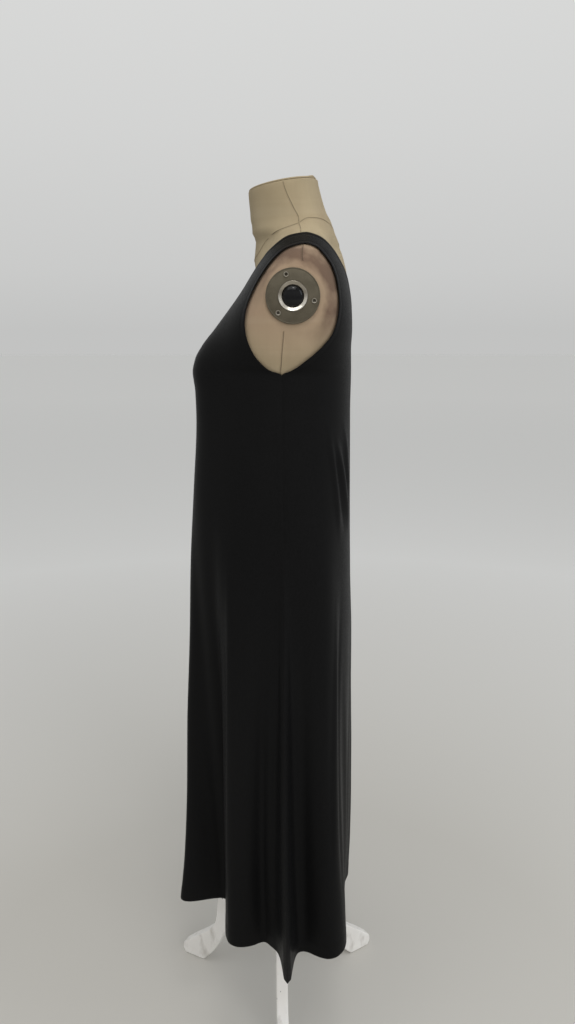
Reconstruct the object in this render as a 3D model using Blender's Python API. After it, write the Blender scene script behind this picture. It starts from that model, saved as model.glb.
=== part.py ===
"""Sleeveless midi dress worn by a limbless dress form on a three-legged stand.

Metres, +Z up. The origin is on the floor under the column. The front of the dress
faces -Y and the wearer's left is +X. Angles round the body are in degrees: 0 is the
centre front, 90 the wearer's left side, -90 the right side and 180 the centre back.
"""
from collections import namedtuple
import math

import bpy
import numpy as np
from mathutils import Vector

# Cloth: wall, gap between pieces, and room between its inner face and the body
WALL = 0.002
GAP = 0.0003
EASE = 0.0022
SHOULDER_EASE = 0.0007
SHOULDER_SPREAD = 14.0

# Main heights of the dress
HEM_Z = 0.270
UNDERARM_Z = 1.168
SHOULDER_LOW = 1.300

# Columns of quads in half a panel, and rows from the hem to the underarm
FRONT_COLUMNS = 25
BACK_COLUMNS = 20
SKIRT_ROWS = 17
TURN_WEIGHT = 0.022
SHARE_MIX_Z = (0.55, 1.05)

# Bust, neck and nape: where they lie round the body, in degrees
BUST_ANGLE = 33.0
BUST_SPREAD = 17.0
NECK_SPREAD = 36.0
NAPE_SPREAD = 32.0

# Level sections of a body: widths and depths from the axis of the section, which
# lies at side_y; power is the squareness of the oval
SECTION_COLUMNS = ("z", "half_width", "side_y", "front", "back", "power", "bust", "neck", "nape")
UPPER_BODY = (
    (1.168, 0.1480, 0.008, 0.1190, 0.1040, 2.40, 0.0220, 0.0, 0.0),
    (1.185, 0.1560, 0.011, 0.1180, 0.1005, 2.40, 0.0215, 0.0, 0.0),
    (1.205, 0.1640, 0.015, 0.1140, 0.0960, 2.40, 0.0170, 0.0, 0.0),
    (1.230, 0.1710, 0.020, 0.1050, 0.0920, 2.40, 0.0090, 0.0, 0.0),
    (1.260, 0.1740, 0.024, 0.0905, 0.0865, 2.40, 0.0030, 0.0, 0.0005),
    (1.290, 0.1735, 0.028, 0.0750, 0.0780, 2.30, 0.0, 0.0, 0.0025),
    (1.313, 0.1670, 0.032, 0.0650, 0.0695, 2.15, 0.0, 0.002, 0.0060),
    (1.335, 0.1480, 0.036, 0.0560, 0.0580, 2.00, 0.0, 0.0150, 0.0085),
    (1.3455, 0.1295, 0.040, 0.0540, 0.0490, 2.00, 0.0, 0.0200, 0.0100),
    (1.356, 0.1080, 0.042, 0.0530, 0.0430, 2.00, 0.0, 0.0220, 0.0105),
    (1.3645, 0.0890, 0.043, 0.0560, 0.0440, 2.00, 0.0, 0.0200, 0.0055),
    (1.375, 0.0710, 0.041, 0.0700, 0.0450, 2.00, 0.0, 0.0090, 0.0020),
    (1.390, 0.0595, 0.036, 0.0745, 0.0465, 2.00, 0.0, 0.0010, 0.0),
    (1.405, 0.0560, 0.025, 0.0660, 0.0495, 2.00, 0.0, 0.0, 0.0),
    (1.438, 0.0530, 0.010, 0.0540, 0.0540, 2.00, 0.0, 0.0, 0.0),
    (1.475, 0.0515, 0.003, 0.0500, 0.0500, 2.00, 0.0, 0.0, 0.0),
)
FORM_BODY = (
    (0.716, 0.1540, 0.010, 0.0890, 0.0900, 2.20, 0.0, 0.0, 0.0),
    (0.730, 0.1620, 0.010, 0.0950, 0.0960, 2.20, 0.0, 0.0, 0.0),
    (0.800, 0.1650, 0.010, 0.0990, 0.0980, 2.20, 0.0, 0.0, 0.0),
    (0.860, 0.1560, 0.009, 0.0980, 0.0960, 2.20, 0.0, 0.0, 0.0),
    (0.920, 0.1360, 0.007, 0.0900, 0.0870, 2.20, 0.0, 0.0, 0.0),
    (0.985, 0.1170, 0.005, 0.0830, 0.0790, 2.20, 0.0, 0.0, 0.0),
    (1.050, 0.1250, 0.004, 0.0880, 0.0880, 2.20, 0.0020, 0.0, 0.0),
    (1.100, 0.1340, 0.005, 0.0980, 0.0960, 2.25, 0.0090, 0.0, 0.0),
    (1.138, 0.1410, 0.006, 0.1110, 0.1010, 2.30, 0.0180, 0.0, 0.0),
) + UPPER_BODY
DRESS_BODY = (
    (0.270, 0.2030, 0.0160, 0.1630, 0.1010, 2.35, 0.0210, 0.0, 0.0),
    (0.350, 0.1990, 0.0140, 0.1545, 0.1060, 2.35, 0.0200, 0.0, 0.0),
    (0.450, 0.1940, 0.0120, 0.1485, 0.1090, 2.35, 0.0195, 0.0, 0.0),
    (0.600, 0.1850, 0.0115, 0.1450, 0.1090, 2.35, 0.0190, 0.0, 0.0),
    (0.750, 0.1770, 0.0115, 0.1390, 0.1070, 2.35, 0.0190, 0.0, 0.0),
    (0.850, 0.1710, 0.0110, 0.1362, 0.1045, 2.35, 0.0185, 0.0, 0.0),
    (1.000, 0.1600, 0.0095, 0.1258, 0.1035, 2.35, 0.0185, 0.0, 0.0),
    (1.100, 0.1510, 0.0085, 0.1180, 0.1035, 2.40, 0.0190, 0.0, 0.0),
    (1.140, 0.1485, 0.0080, 0.1175, 0.1040, 2.40, 0.0200, 0.0, 0.0),
) + UPPER_BODY

# Flutes of the skirt: where each lies at the hem and how far it drifts by its top,
# its spread either way, its depth at the hem, out being plus, and where it fades out
Fold = namedtuple("Fold", ("angle", "drift", "spread", "depth", "top", "growth", "sharpness"))
FOLDS = (
    (28.0, 2.0, 6.5, 0.012, 0.85, 1.20, 2.0),
    (43.0, -1.0, 11.5, -0.062, 0.98, 1.20, 4.0),
    (54.0, -2.0, 7.0, -0.020, 0.95, 1.20, 2.0),
    (67.0, 4.0, 7.0, 0.014, 0.95, 1.20, 2.0),
    (79.5, 0.0, 4.5, -0.010, 0.85, 1.20, 2.0),
    (90.0, 0.0, 6.0, 0.012, 0.93, 1.10, 2.0),
    (90.0, 0.0, 1.4, 0.061, 0.93, 1.25, 1.2),
    (110.0, -2.0, 10.2, 0.050, 0.97, 1.10, 2.4),
    (144.0, 2.0, 7.0, -0.008, 0.80, 1.10, 2.0),
    (166.0, -3.0, 9.0, 0.006, 0.90, 1.20, 2.0),
    (-3.0, 2.0, 12.0, -0.013, 0.93, 1.30, 2.0),
    (-27.0, -3.0, 7.0, 0.009, 0.85, 1.20, 2.0),
    (-44.0, 4.0, 10.5, -0.048, 0.95, 1.30, 3.0),
    (-64.0, -3.0, 8.5, 0.014, 0.97, 1.20, 2.0),
    (-78.0, 0.0, 5.5, -0.012, 0.83, 1.20, 2.0),
    (-90.0, 0.0, 7.0, 0.012, 0.93, 1.10, 2.0),
    (-90.0, 0.0, 1.9, 0.055, 0.90, 1.30, 1.8),
    (-108.0, 3.0, 9.0, 0.044, 0.94, 1.10, 2.3),
    (-134.0, -2.0, 8.5, -0.012, 0.86, 1.20, 2.0),
    (-157.0, 2.0, 9.0, 0.009, 0.92, 1.20, 2.0),
    (179.0, 0.0, 9.0, -0.007, 0.88, 1.20, 2.0),
)

# Upper rows of the panels, bottom to top: the neck edge, or centre line, by its
# distance from the middle and height, and the armhole edge by its depth and height
Edge = namedtuple("Edge", ("neck_x", "neck_z", "arm_y", "arm_z"))
FRONT_EDGES = (
    (0.000, 1.182, -0.0100, 1.1765),
    (0.000, 1.197, -0.0250, 1.1900),
    (0.000, 1.212, -0.0350, 1.2070),
    (0.010, 1.228, -0.0400, 1.2250),
    (0.0235, 1.249, -0.0410, 1.2420),
    (0.037, 1.271, -0.0380, 1.2600),
    (0.0505, 1.292, -0.0315, 1.2775),
    (0.063, 1.311, -0.0220, 1.2960),
    (0.074, 1.327, -0.0100, 1.3140),
    (0.083, 1.340, 0.0040, 1.3300),
    (0.0905, 1.3495, 0.0190, 1.3400),
    (0.0925, 1.3580, 0.0305, 1.3435),
    (0.0890, 1.3645, 0.0400, 1.3455),
)
BACK_EDGES = (
    (0.000, 1.184, 0.0240, 1.1770),
    (0.000, 1.203, 0.0460, 1.1930),
    (0.000, 1.226, 0.0640, 1.2095),
    (0.000, 1.250, 0.0765, 1.2260),
    (0.022, 1.262, 0.0825, 1.2430),
    (0.040, 1.280, 0.0850, 1.2600),
    (0.0555, 1.2975, 0.0845, 1.2780),
    (0.069, 1.3125, 0.0810, 1.2980),
    (0.080, 1.3250, 0.0750, 1.3150),
    (0.0875, 1.3350, 0.0650, 1.3300),
    (0.0922, 1.3440, 0.0555, 1.3400),
    (0.0938, 1.3545, 0.0485, 1.3432),
    (0.0950, 1.3600, 0.0442, 1.3447),
    (0.0890, 1.3645, 0.0400, 1.3455),
)

# Dress form
FORM_SIDES = 36
FORM_LEVELS = (
    0.716, 0.730, 0.765, 0.800, 0.860, 0.920, 0.985, 1.050, 1.100, 1.138, 1.168, 1.190, 1.212,
    1.2365, 1.260, 1.290, 1.313, 1.327, 1.337, 1.3455, 1.351, 1.356, 1.3605, 1.3645, 1.369,
    1.375, 1.382, 1.391, 1.405, 1.422,
)
ARM_FACE_X = 0.1625
NECK_TOP_FRONT = (-0.044, 1.4335)
NECK_TOP_SLOPE = 0.165
NECK_CAP_THICK = 0.003
NECK_CAP_INSET = 0.0015

# Arm plates with their sockets
PLATE_Y = 0.0233
PLATE_Z = 1.2751
PLATE_RADIUS = 0.0375
PLATE_THICK = 0.004
RING_RADIUS = 0.0168
RING_WIRE = 0.0028
BALL_RADIUS = 0.0136
BALL_FLATTEN = 0.34
SCREW_CIRCLE = 0.030
SCREW_RADIUS = 0.0043
SCREW_HEIGHT = 0.0022
SCREW_ANGLES = (108.0, 228.0, 348.0)

# Stand
COLUMN_RADIUS = 0.0125
COLLAR_RADIUS = 0.032
COLLAR_HEIGHT = 0.018
HUB_RADIUS = 0.024
HUB_Z = (0.190, 0.276)
LEG_WIDTH = 0.020
LEG_ANGLES = (3.0, 123.0, 243.0)
LEG_OUTLINE = (
    (0.0243, 0.262), (0.060, 0.255), (0.100, 0.222), (0.122, 0.178), (0.131, 0.138),
    (0.134, 0.110), (0.142, 0.086), (0.164, 0.064), (0.187, 0.045), (0.2130, 0.022),
    (0.2145, 0.010), (0.2090, 0.0), (0.166, 0.0), (0.150, 0.018), (0.135, 0.040),
    (0.119, 0.074), (0.109, 0.106), (0.101, 0.140), (0.085, 0.172), (0.058, 0.192),
    (0.0243, 0.198),
)

# Step used to read slopes off the surfaces, in degrees and metres
ANGLE_STEP = 0.15
HEIGHT_STEP = 0.0006

# Finishes: colour, roughness, metallic
FINISHES = {
    "jersey": ((0.010, 0.010, 0.011), 0.80, 0.0),
    "linen": ((0.36, 0.31, 0.23), 0.90, 0.0),
    "plate": ((0.16, 0.145, 0.12), 0.45, 0.8),
    "chrome": ((0.70, 0.70, 0.70), 0.15, 1.0),
    "gloss_black": ((0.006, 0.006, 0.007), 0.12, 0.0),
    "white_paint": ((0.72, 0.71, 0.68), 0.50, 0.0),
}


def clear_scene():
    """Remove every object that the scene starts with."""
    for obj in list(bpy.data.objects):
        bpy.data.objects.remove(obj, do_unlink=True)


def smooth_columns(rows, columns):
    """Turn a table into one smooth curve a column, without overshoot between rows."""
    table = np.array(rows, dtype=float)
    z = table[:, 0]
    step = np.diff(z)
    curves = {}
    for index, name in enumerate(columns[1:], start=1):
        value = table[:, index]
        rise = np.diff(value) / step
        slope = np.zeros(len(z))
        same = rise[:-1] * rise[1:] > 0.0
        mean = 2.0 * rise[:-1] * rise[1:] / np.where(same, rise[:-1] + rise[1:], 1.0)
        slope[1:-1] = np.where(same, mean, 0.0)
        slope[0] = rise[0]
        slope[-1] = rise[-1]
        curves[name] = (z, value, slope)
    return curves


def read_curve(curve, height):
    """Read a smooth column at the given heights."""
    z, value, slope = curve
    height = np.clip(height, z[0], z[-1])
    low = np.clip(np.searchsorted(z, height) - 1, 0, len(z) - 2)
    step = z[low + 1] - z[low]
    t = (height - z[low]) / step
    start = (2 * t ** 3 - 3 * t ** 2 + 1) * value[low] + (t ** 3 - 2 * t ** 2 + t) * step * slope[low]
    end = (3 * t ** 2 - 2 * t ** 3) * value[low + 1] + (t ** 3 - t ** 2) * step * slope[low + 1]
    return start + end


def body_surface(curves, folds, height, angle):
    """Points of a body at the given heights and angles, with its flutes."""
    read = {name: read_curve(curve, height) for name, curve in curves.items()}
    turn = np.radians(angle)
    depth = np.where(np.cos(turn) >= 0.0, read["front"], read["back"])
    across = (np.abs(np.sin(turn)) / read["half_width"]) ** read["power"]
    along = (np.abs(np.cos(turn)) / depth) ** read["power"]
    radius = (across + along) ** (-1.0 / read["power"])
    radius = radius + read["bust"] * np.exp(-((np.abs(angle) - BUST_ANGLE) / BUST_SPREAD) ** 2)
    radius = radius + read["neck"] * np.exp(-(angle / NECK_SPREAD) ** 2)
    radius = radius + read["nape"] * np.exp(-((np.abs(angle) - 180.0) / NAPE_SPREAD) ** 2)
    for fold in map(Fold._make, folds):
        reach = np.clip((fold.top - height) / (fold.top - HEM_Z), 0.0, 1.0)
        away = (angle - fold.angle - fold.drift * (1.0 - reach) + 180.0) % 360.0 - 180.0
        wave = np.exp(-np.abs(away / fold.spread) ** fold.sharpness)
        radius = radius + fold.depth * reach ** fold.growth * wave
    return np.stack((radius * np.sin(turn), read["side_y"] - radius * np.cos(turn), height), axis=-1)


def unit(vectors):
    """Vectors of length one."""
    return vectors / np.linalg.norm(vectors, axis=-1, keepdims=True)


def surface_frame(curves, folds, height, angle):
    """Points, outward directions and the direction of growing angle."""
    point = body_surface(curves, folds, height, angle)
    ahead = body_surface(curves, folds, height, angle + ANGLE_STEP)
    behind = body_surface(curves, folds, height, angle - ANGLE_STEP)
    above = body_surface(curves, folds, height + HEIGHT_STEP, angle)
    below = body_surface(curves, folds, height - HEIGHT_STEP, angle)
    return point, unit(np.cross(ahead - behind, above - below)), unit(ahead - behind)


def find_angle(curves, height, axis, target, ends):
    """Angle between two ends where the body reaches a given x or y at this height."""
    low, high = ends
    level = np.array([height])
    rising = body_surface(curves, (), level, np.array([high]))[0, axis]
    rising = rising > body_surface(curves, (), level, np.array([low]))[0, axis]
    for _ in range(48):
        middle = 0.5 * (low + high)
        value = body_surface(curves, (), level, np.array([middle]))[0, axis]
        if (value < target) == rising:
            low = middle
        else:
            high = middle
    return 0.5 * (low + high)


def column_shares(curves, side, back, count):
    """Shares of a half panel's angle, closer where the hem turns or runs far out."""
    fine = np.linspace(0.0, 1.0, 721)
    angle = side * (180.0 - 90.0 * fine if back else 90.0 * fine)
    ring = body_surface(curves, FOLDS, np.full(fine.shape, HEM_Z), angle)[:, :2]
    step = np.diff(ring, axis=0)
    heading = np.unwrap(np.arctan2(step[:, 1], step[:, 0]))
    turning = np.abs(np.diff(heading, append=heading[-1]))
    weight = np.concatenate(([0.0], np.cumsum(np.linalg.norm(step, axis=1) + TURN_WEIGHT * turning)))
    return np.interp(np.linspace(0.0, weight[-1], count + 1), weight, fine)


def panel_rows(curves, edges, back):
    """Rows of a half panel: heights and angles of the centre or neck end and side end."""
    middle = 180.0 if back else 0.0
    rows = []
    for height in np.linspace(HEM_Z, UNDERARM_Z, SKIRT_ROWS + 1):
        rows.append((height, middle, height, 90.0))
    for edge in map(Edge._make, edges[:-1]):
        inner = middle
        if edge.neck_x > 0.0:
            inner = find_angle(curves, edge.neck_z, 0, edge.neck_x, (middle, 90.0))
        outer = find_angle(curves, edge.arm_z, 1, edge.arm_y, (middle, 90.0))
        rows.append((edge.neck_z, inner, edge.arm_z, outer))
    seam = Edge._make(edges[-1])
    rows.append((seam.neck_z, 90.0, seam.arm_z, 90.0))
    return rows


def panel_grid(curves, edges, back, count):
    """Heights, angles and faces of a panel's sheet, split above the neck's low point."""
    rows = panel_rows(curves, edges, back)
    split = SKIRT_ROWS + 1 + sum(1 for edge in edges if Edge._make(edge).neck_x == 0.0)
    heights = []
    angles = []
    ids = {}
    for side in (1, -1):
        shares = column_shares(curves, side, back, count)
        for row, (inner_z, inner, outer_z, outer) in enumerate(rows):
            level = 0.5 * (inner_z + outer_z)
            mix = np.clip((level - SHARE_MIX_Z[0]) / (SHARE_MIX_Z[1] - SHARE_MIX_Z[0]), 0.0, 1.0)
            for column in range(count + 1):
                if side == -1 and column == 0 and row < split:
                    ids[side, row, column] = ids[1, row, column]
                    continue
                share = (1.0 - mix) * shares[column] + mix * column / count
                ids[side, row, column] = len(heights)
                heights.append(inner_z + (outer_z - inner_z) * share)
                angles.append(side * (inner + (outer - inner) * share))
    faces = []
    for side in (1, -1):
        for row in range(len(rows) - 1):
            for column in range(count):
                corners = [ids[side, row, column], ids[side, row, column + 1],
                           ids[side, row + 1, column + 1], ids[side, row + 1, column]]
                if (side == -1) != back:
                    corners.reverse()
                faces.append(corners)
    return np.array(heights), np.array(angles), faces


def cloth_faces(curves, heights, angles, back):
    """Outer and inner points of the cloth, pulled in from the seams by half the gap."""
    point, outward, round_body = surface_frame(curves, FOLDS, heights, angles)
    ridge = np.exp(-((np.abs(angles) - 90.0) / SHOULDER_SPREAD) ** 2)
    ridge = ridge * np.clip((heights - SHOULDER_LOW) / 0.03, 0.0, 1.0)
    ease = EASE + (SHOULDER_EASE - EASE) * ridge
    at_seam = (np.abs(np.abs(angles) - 90.0) < 1e-9).astype(float)
    inward = np.sign(angles) * (1.0 if back else -1.0)
    point = point + round_body * (at_seam * inward * 0.5 * GAP)[:, None]
    return point + outward * (ease + WALL)[:, None], point + outward * ease[:, None]


def closed_wall(outer, inner, faces):
    """Points and faces of a closed wall between two sheets with the same faces."""
    count = len(outer)
    points = np.concatenate((outer, inner))
    walls = list(faces) + [[corner + count for corner in reversed(face)] for face in faces]
    edges = {(a, b) for face in faces for a, b in zip(face, face[1:] + face[:1])}
    for a, b in sorted(edges):
        if (b, a) not in edges:
            walls.append([b, a, a + count, b + count])
    return points, walls


def make_material(name):
    """A Principled material with the finish's colour, roughness and metallic value."""
    colour, roughness, metallic = FINISHES[name]
    material = bpy.data.materials.get(name) or bpy.data.materials.new(name)
    material.use_nodes = True
    shader = material.node_tree.nodes["Principled BSDF"]
    shader.inputs["Base Color"].default_value = (*colour, 1.0)
    shader.inputs["Roughness"].default_value = roughness
    shader.inputs["Metallic"].default_value = metallic
    return material


def place(obj, name, finish, parts, parent, smooth=True):
    """Name an object, give it its finish and put it in the parts' collection."""
    obj.name = name
    obj.data.name = name
    obj.data.materials.clear()
    obj.data.materials.append(make_material(finish))
    for owner in list(obj.users_collection):
        owner.objects.unlink(obj)
    parts.objects.link(obj)
    obj.parent = parent
    if smooth and obj.type == "MESH":
        obj.data.shade_smooth()
        obj.data.set_sharp_from_angle(angle=math.radians(40.0))
    return obj


def mesh_object(name, points, faces):
    """A mesh object from computed points and faces."""
    mesh = bpy.data.meshes.new(name)
    mesh.from_pydata([tuple(map(float, p)) for p in points], [], faces)
    mesh.validate()
    obj = bpy.data.objects.new(name, mesh)
    bpy.context.scene.collection.objects.link(obj)
    return obj


def build_dress(parts, parent):
    """Front and back panels, each one closed wall of cloth."""
    curves = smooth_columns(DRESS_BODY, SECTION_COLUMNS)
    panels = (("dress_front", FRONT_EDGES, False, FRONT_COLUMNS),
              ("dress_back", BACK_EDGES, True, BACK_COLUMNS))
    for name, edges, back, count in panels:
        heights, angles, faces = panel_grid(curves, edges, back, count)
        outer, inner = cloth_faces(curves, heights, angles, back)
        points, walls = closed_wall(outer, inner, faces)
        place(mesh_object(name, points, walls), name, "jersey", parts, parent)


def neck_ring(curves, angles, inset):
    """Ring where the slanted plane cuts the neck, drawn in by an inset."""
    front_y, front_z = NECK_TOP_FRONT
    height = np.full(angles.shape, front_z)
    for _ in range(30):
        ring = body_surface(curves, (), height, angles)
        height = front_z + NECK_TOP_SLOPE * (ring[:, 1] - front_y)
    middle = np.array((0.0, ring[:, 1].mean()))
    size = np.linalg.norm(ring[:, :2] - middle, axis=1, keepdims=True)
    ring[:, :2] = middle + (ring[:, :2] - middle) * (1.0 - inset / size)
    ring[:, 2] = front_z + NECK_TOP_SLOPE * (ring[:, 1] - front_y)
    return ring


def stacked_rings(rings):
    """Points and faces of a solid through rings, bottom to top, with flat ends."""
    sides = len(rings[0])
    points = np.concatenate(rings)
    faces = [list(range(sides))[::-1]]
    for level in range(len(rings) - 1):
        for side in range(sides):
            after = (side + 1) % sides
            low = level * sides
            faces.append([low + side, low + after, low + sides + after, low + sides + side])
    faces.append([(len(rings) - 1) * sides + side for side in range(sides)])
    return points, faces


def build_form(parts, parent):
    """Torso with its neck, flat at the arms, and the flat cap on the neck."""
    curves = smooth_columns(FORM_BODY, SECTION_COLUMNS)
    angles = np.arange(FORM_SIDES) * 360.0 / FORM_SIDES
    angles = (angles + 180.0) % 360.0 - 180.0
    rings = []
    for level in FORM_LEVELS:
        ring = body_surface(curves, (), np.full(angles.shape, level), angles)
        ring[:, 0] = np.clip(ring[:, 0], -ARM_FACE_X, ARM_FACE_X)
        rings.append(ring)
    rings.append(neck_ring(curves, angles, 0.0))
    points, faces = stacked_rings(rings)
    place(mesh_object("form_torso", points, faces), "form_torso", "linen", parts, parent)
    low = neck_ring(curves, angles, NECK_CAP_INSET) + np.array((0.0, 0.0, GAP))
    high = low + np.array((0.0, 0.0, NECK_CAP_THICK))
    points, faces = stacked_rings([low, high])
    place(mesh_object("form_neck_cap", points, faces), "form_neck_cap", "linen", parts, parent)


def cylinder(name, finish, radius, depth, centre, parts, parent, sides=32, across=False):
    """An upright cylinder, or one along X."""
    bpy.ops.mesh.primitive_cylinder_add(vertices=sides, radius=radius, depth=depth)
    obj = bpy.context.object
    obj.location = centre
    if across:
        obj.rotation_euler = (0.0, math.radians(90.0), 0.0)
    return place(obj, name, finish, parts, parent)


def build_arm_plates(parts, parent):
    """A round plate at each arm with a ring, a ball and three screws."""
    for label, side in (("left", 1.0), ("right", -1.0)):
        face = ARM_FACE_X + GAP
        centre = Vector((side * (face + 0.5 * PLATE_THICK), PLATE_Y, PLATE_Z))
        cylinder("arm_plate_" + label, "plate", PLATE_RADIUS, PLATE_THICK, centre, parts, parent, 36, True)
        seat = face + PLATE_THICK + GAP
        bpy.ops.mesh.primitive_torus_add(major_radius=RING_RADIUS, minor_radius=RING_WIRE,
                                         major_segments=28, minor_segments=6)
        ring = bpy.context.object
        ring.rotation_euler = (0.0, math.radians(90.0), 0.0)
        ring.location = (side * (seat + RING_WIRE), PLATE_Y, PLATE_Z)
        place(ring, "socket_ring_" + label, "chrome", parts, parent)
        bpy.ops.mesh.primitive_uv_sphere_add(segments=18, ring_count=10, radius=BALL_RADIUS)
        ball = bpy.context.object
        ball.scale = (1.0, 1.0, BALL_FLATTEN)
        ball.rotation_euler = (0.0, math.radians(90.0), 0.0)
        ball.location = (side * (seat + BALL_RADIUS * BALL_FLATTEN), PLATE_Y, PLATE_Z)
        place(ball, "socket_ball_" + label, "gloss_black", parts, parent)
        for number, turn in enumerate(SCREW_ANGLES, start=1):
            y = PLATE_Y + SCREW_CIRCLE * math.cos(math.radians(turn))
            z = PLATE_Z + SCREW_CIRCLE * math.sin(math.radians(turn))
            name = "plate_screw_" + label + "_" + str(number)
            spot = Vector((side * (seat + 0.5 * SCREW_HEIGHT), y, z))
            cylinder(name, "chrome", SCREW_RADIUS, SCREW_HEIGHT, spot, parts, parent, 12, True)


def build_leg(number, turn, parts, parent):
    """One leg: a flat cast plate on edge, from its side outline."""
    curve = bpy.data.curves.new("leg_outline", "CURVE")
    curve.dimensions = "2D"
    curve.fill_mode = "BOTH"
    curve.extrude = 0.5 * LEG_WIDTH
    spline = curve.splines.new("POLY")
    spline.points.add(len(LEG_OUTLINE) - 1)
    for point, (out, up) in zip(spline.points, LEG_OUTLINE):
        point.co = (out, up, 0.0, 1.0)
    spline.use_cyclic_u = True
    outline = bpy.data.objects.new("leg_outline", curve)
    outline.rotation_euler = (math.radians(90.0), 0.0, math.radians(turn))
    bpy.context.scene.collection.objects.link(outline)
    place(outline, "stand_leg_" + str(number), "white_paint", parts, parent, smooth=False)


def build_stand(parts, parent):
    """Collar under the torso, column, hub and three legs."""
    torso_z = FORM_LEVELS[0]
    collar_z = torso_z - GAP - 0.5 * COLLAR_HEIGHT
    cylinder("stand_collar", "white_paint", COLLAR_RADIUS, COLLAR_HEIGHT, (0.0, 0.0, collar_z), parts, parent)
    low = HUB_Z[1] + GAP
    high = collar_z - 0.5 * COLLAR_HEIGHT - GAP
    cylinder("stand_column", "white_paint", COLUMN_RADIUS, high - low, (0.0, 0.0, 0.5 * (low + high)),
             parts, parent, 24)
    cylinder("stand_hub", "white_paint", HUB_RADIUS, HUB_Z[1] - HUB_Z[0], (0.0, 0.0, 0.5 * sum(HUB_Z)),
             parts, parent)
    for number, turn in enumerate(LEG_ANGLES, start=1):
        build_leg(number, turn, parts, parent)


def main():
    """Build the dress, its form and the stand."""
    clear_scene()
    parts = bpy.data.collections.new("midi_dress_on_form")
    bpy.context.scene.collection.children.link(parts)
    root = bpy.data.objects.new("root", None)
    parts.objects.link(root)
    build_dress(parts, root)
    build_form(parts, root)
    build_arm_plates(parts, root)
    build_stand(parts, root)


main()
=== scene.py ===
"""Looks of a plain sleeveless midi dress on a linen dress form with a white stand.

Metres, +Z up. The front of the dress faces -Y and the wearer's left is +X. Angles
round the body are in degrees: 0 is the centre front, 90 the wearer's left side,
-90 the right side and 180 the centre back.
"""
from collections import namedtuple
import math

import bpy
import numpy as np
from mathutils import Matrix, Vector


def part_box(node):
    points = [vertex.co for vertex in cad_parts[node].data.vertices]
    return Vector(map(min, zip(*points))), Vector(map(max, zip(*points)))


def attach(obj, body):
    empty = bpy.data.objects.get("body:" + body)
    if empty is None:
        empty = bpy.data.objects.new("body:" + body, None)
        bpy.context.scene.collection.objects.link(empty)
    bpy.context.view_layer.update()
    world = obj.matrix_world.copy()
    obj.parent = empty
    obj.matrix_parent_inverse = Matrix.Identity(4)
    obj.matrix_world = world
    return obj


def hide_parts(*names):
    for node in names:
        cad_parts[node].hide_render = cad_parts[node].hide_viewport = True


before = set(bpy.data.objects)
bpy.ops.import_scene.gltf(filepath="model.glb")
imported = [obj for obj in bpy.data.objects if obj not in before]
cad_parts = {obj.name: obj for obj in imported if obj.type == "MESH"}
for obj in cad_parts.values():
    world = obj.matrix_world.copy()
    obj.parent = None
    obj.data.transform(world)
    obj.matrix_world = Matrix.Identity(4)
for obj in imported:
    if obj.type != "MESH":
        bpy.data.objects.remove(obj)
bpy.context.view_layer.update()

BODY = "root"

# Dress: the sizes, sections, flutes and edges of its solids
WALL = 0.002
GAP = 0.0003
EASE = 0.0022
SHOULDER_EASE = 0.0007
SHOULDER_SPREAD = 14.0
HEM_Z = 0.270
UNDERARM_Z = 1.168
SHOULDER_LOW = 1.300
SKIRT_ROWS = 17
TURN_WEIGHT = 0.022
SHARE_MIX_Z = (0.55, 1.05)
BUST_ANGLE = 33.0
BUST_SPREAD = 17.0
NECK_SPREAD = 36.0
NAPE_SPREAD = 32.0
SECTION_COLUMNS = ("z", "half_width", "side_y", "front", "back", "power", "bust", "neck", "nape")
UPPER_BODY = (
    (1.168, 0.1480, 0.008, 0.1190, 0.1040, 2.40, 0.0220, 0.0, 0.0),
    (1.185, 0.1560, 0.011, 0.1180, 0.1005, 2.40, 0.0215, 0.0, 0.0),
    (1.205, 0.1640, 0.015, 0.1140, 0.0960, 2.40, 0.0170, 0.0, 0.0),
    (1.230, 0.1710, 0.020, 0.1050, 0.0920, 2.40, 0.0090, 0.0, 0.0),
    (1.260, 0.1740, 0.024, 0.0905, 0.0865, 2.40, 0.0030, 0.0, 0.0005),
    (1.290, 0.1735, 0.028, 0.0750, 0.0780, 2.30, 0.0, 0.0, 0.0025),
    (1.313, 0.1670, 0.032, 0.0650, 0.0695, 2.15, 0.0, 0.002, 0.0060),
    (1.335, 0.1480, 0.036, 0.0560, 0.0580, 2.00, 0.0, 0.0150, 0.0085),
    (1.3455, 0.1295, 0.040, 0.0540, 0.0490, 2.00, 0.0, 0.0200, 0.0100),
    (1.356, 0.1080, 0.042, 0.0530, 0.0430, 2.00, 0.0, 0.0220, 0.0105),
    (1.3645, 0.0890, 0.043, 0.0560, 0.0440, 2.00, 0.0, 0.0200, 0.0055),
    (1.375, 0.0710, 0.041, 0.0700, 0.0450, 2.00, 0.0, 0.0090, 0.0020),
    (1.390, 0.0595, 0.036, 0.0745, 0.0465, 2.00, 0.0, 0.0010, 0.0),
    (1.405, 0.0560, 0.025, 0.0660, 0.0495, 2.00, 0.0, 0.0, 0.0),
    (1.438, 0.0530, 0.010, 0.0540, 0.0540, 2.00, 0.0, 0.0, 0.0),
    (1.475, 0.0515, 0.003, 0.0500, 0.0500, 2.00, 0.0, 0.0, 0.0),
)
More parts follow.
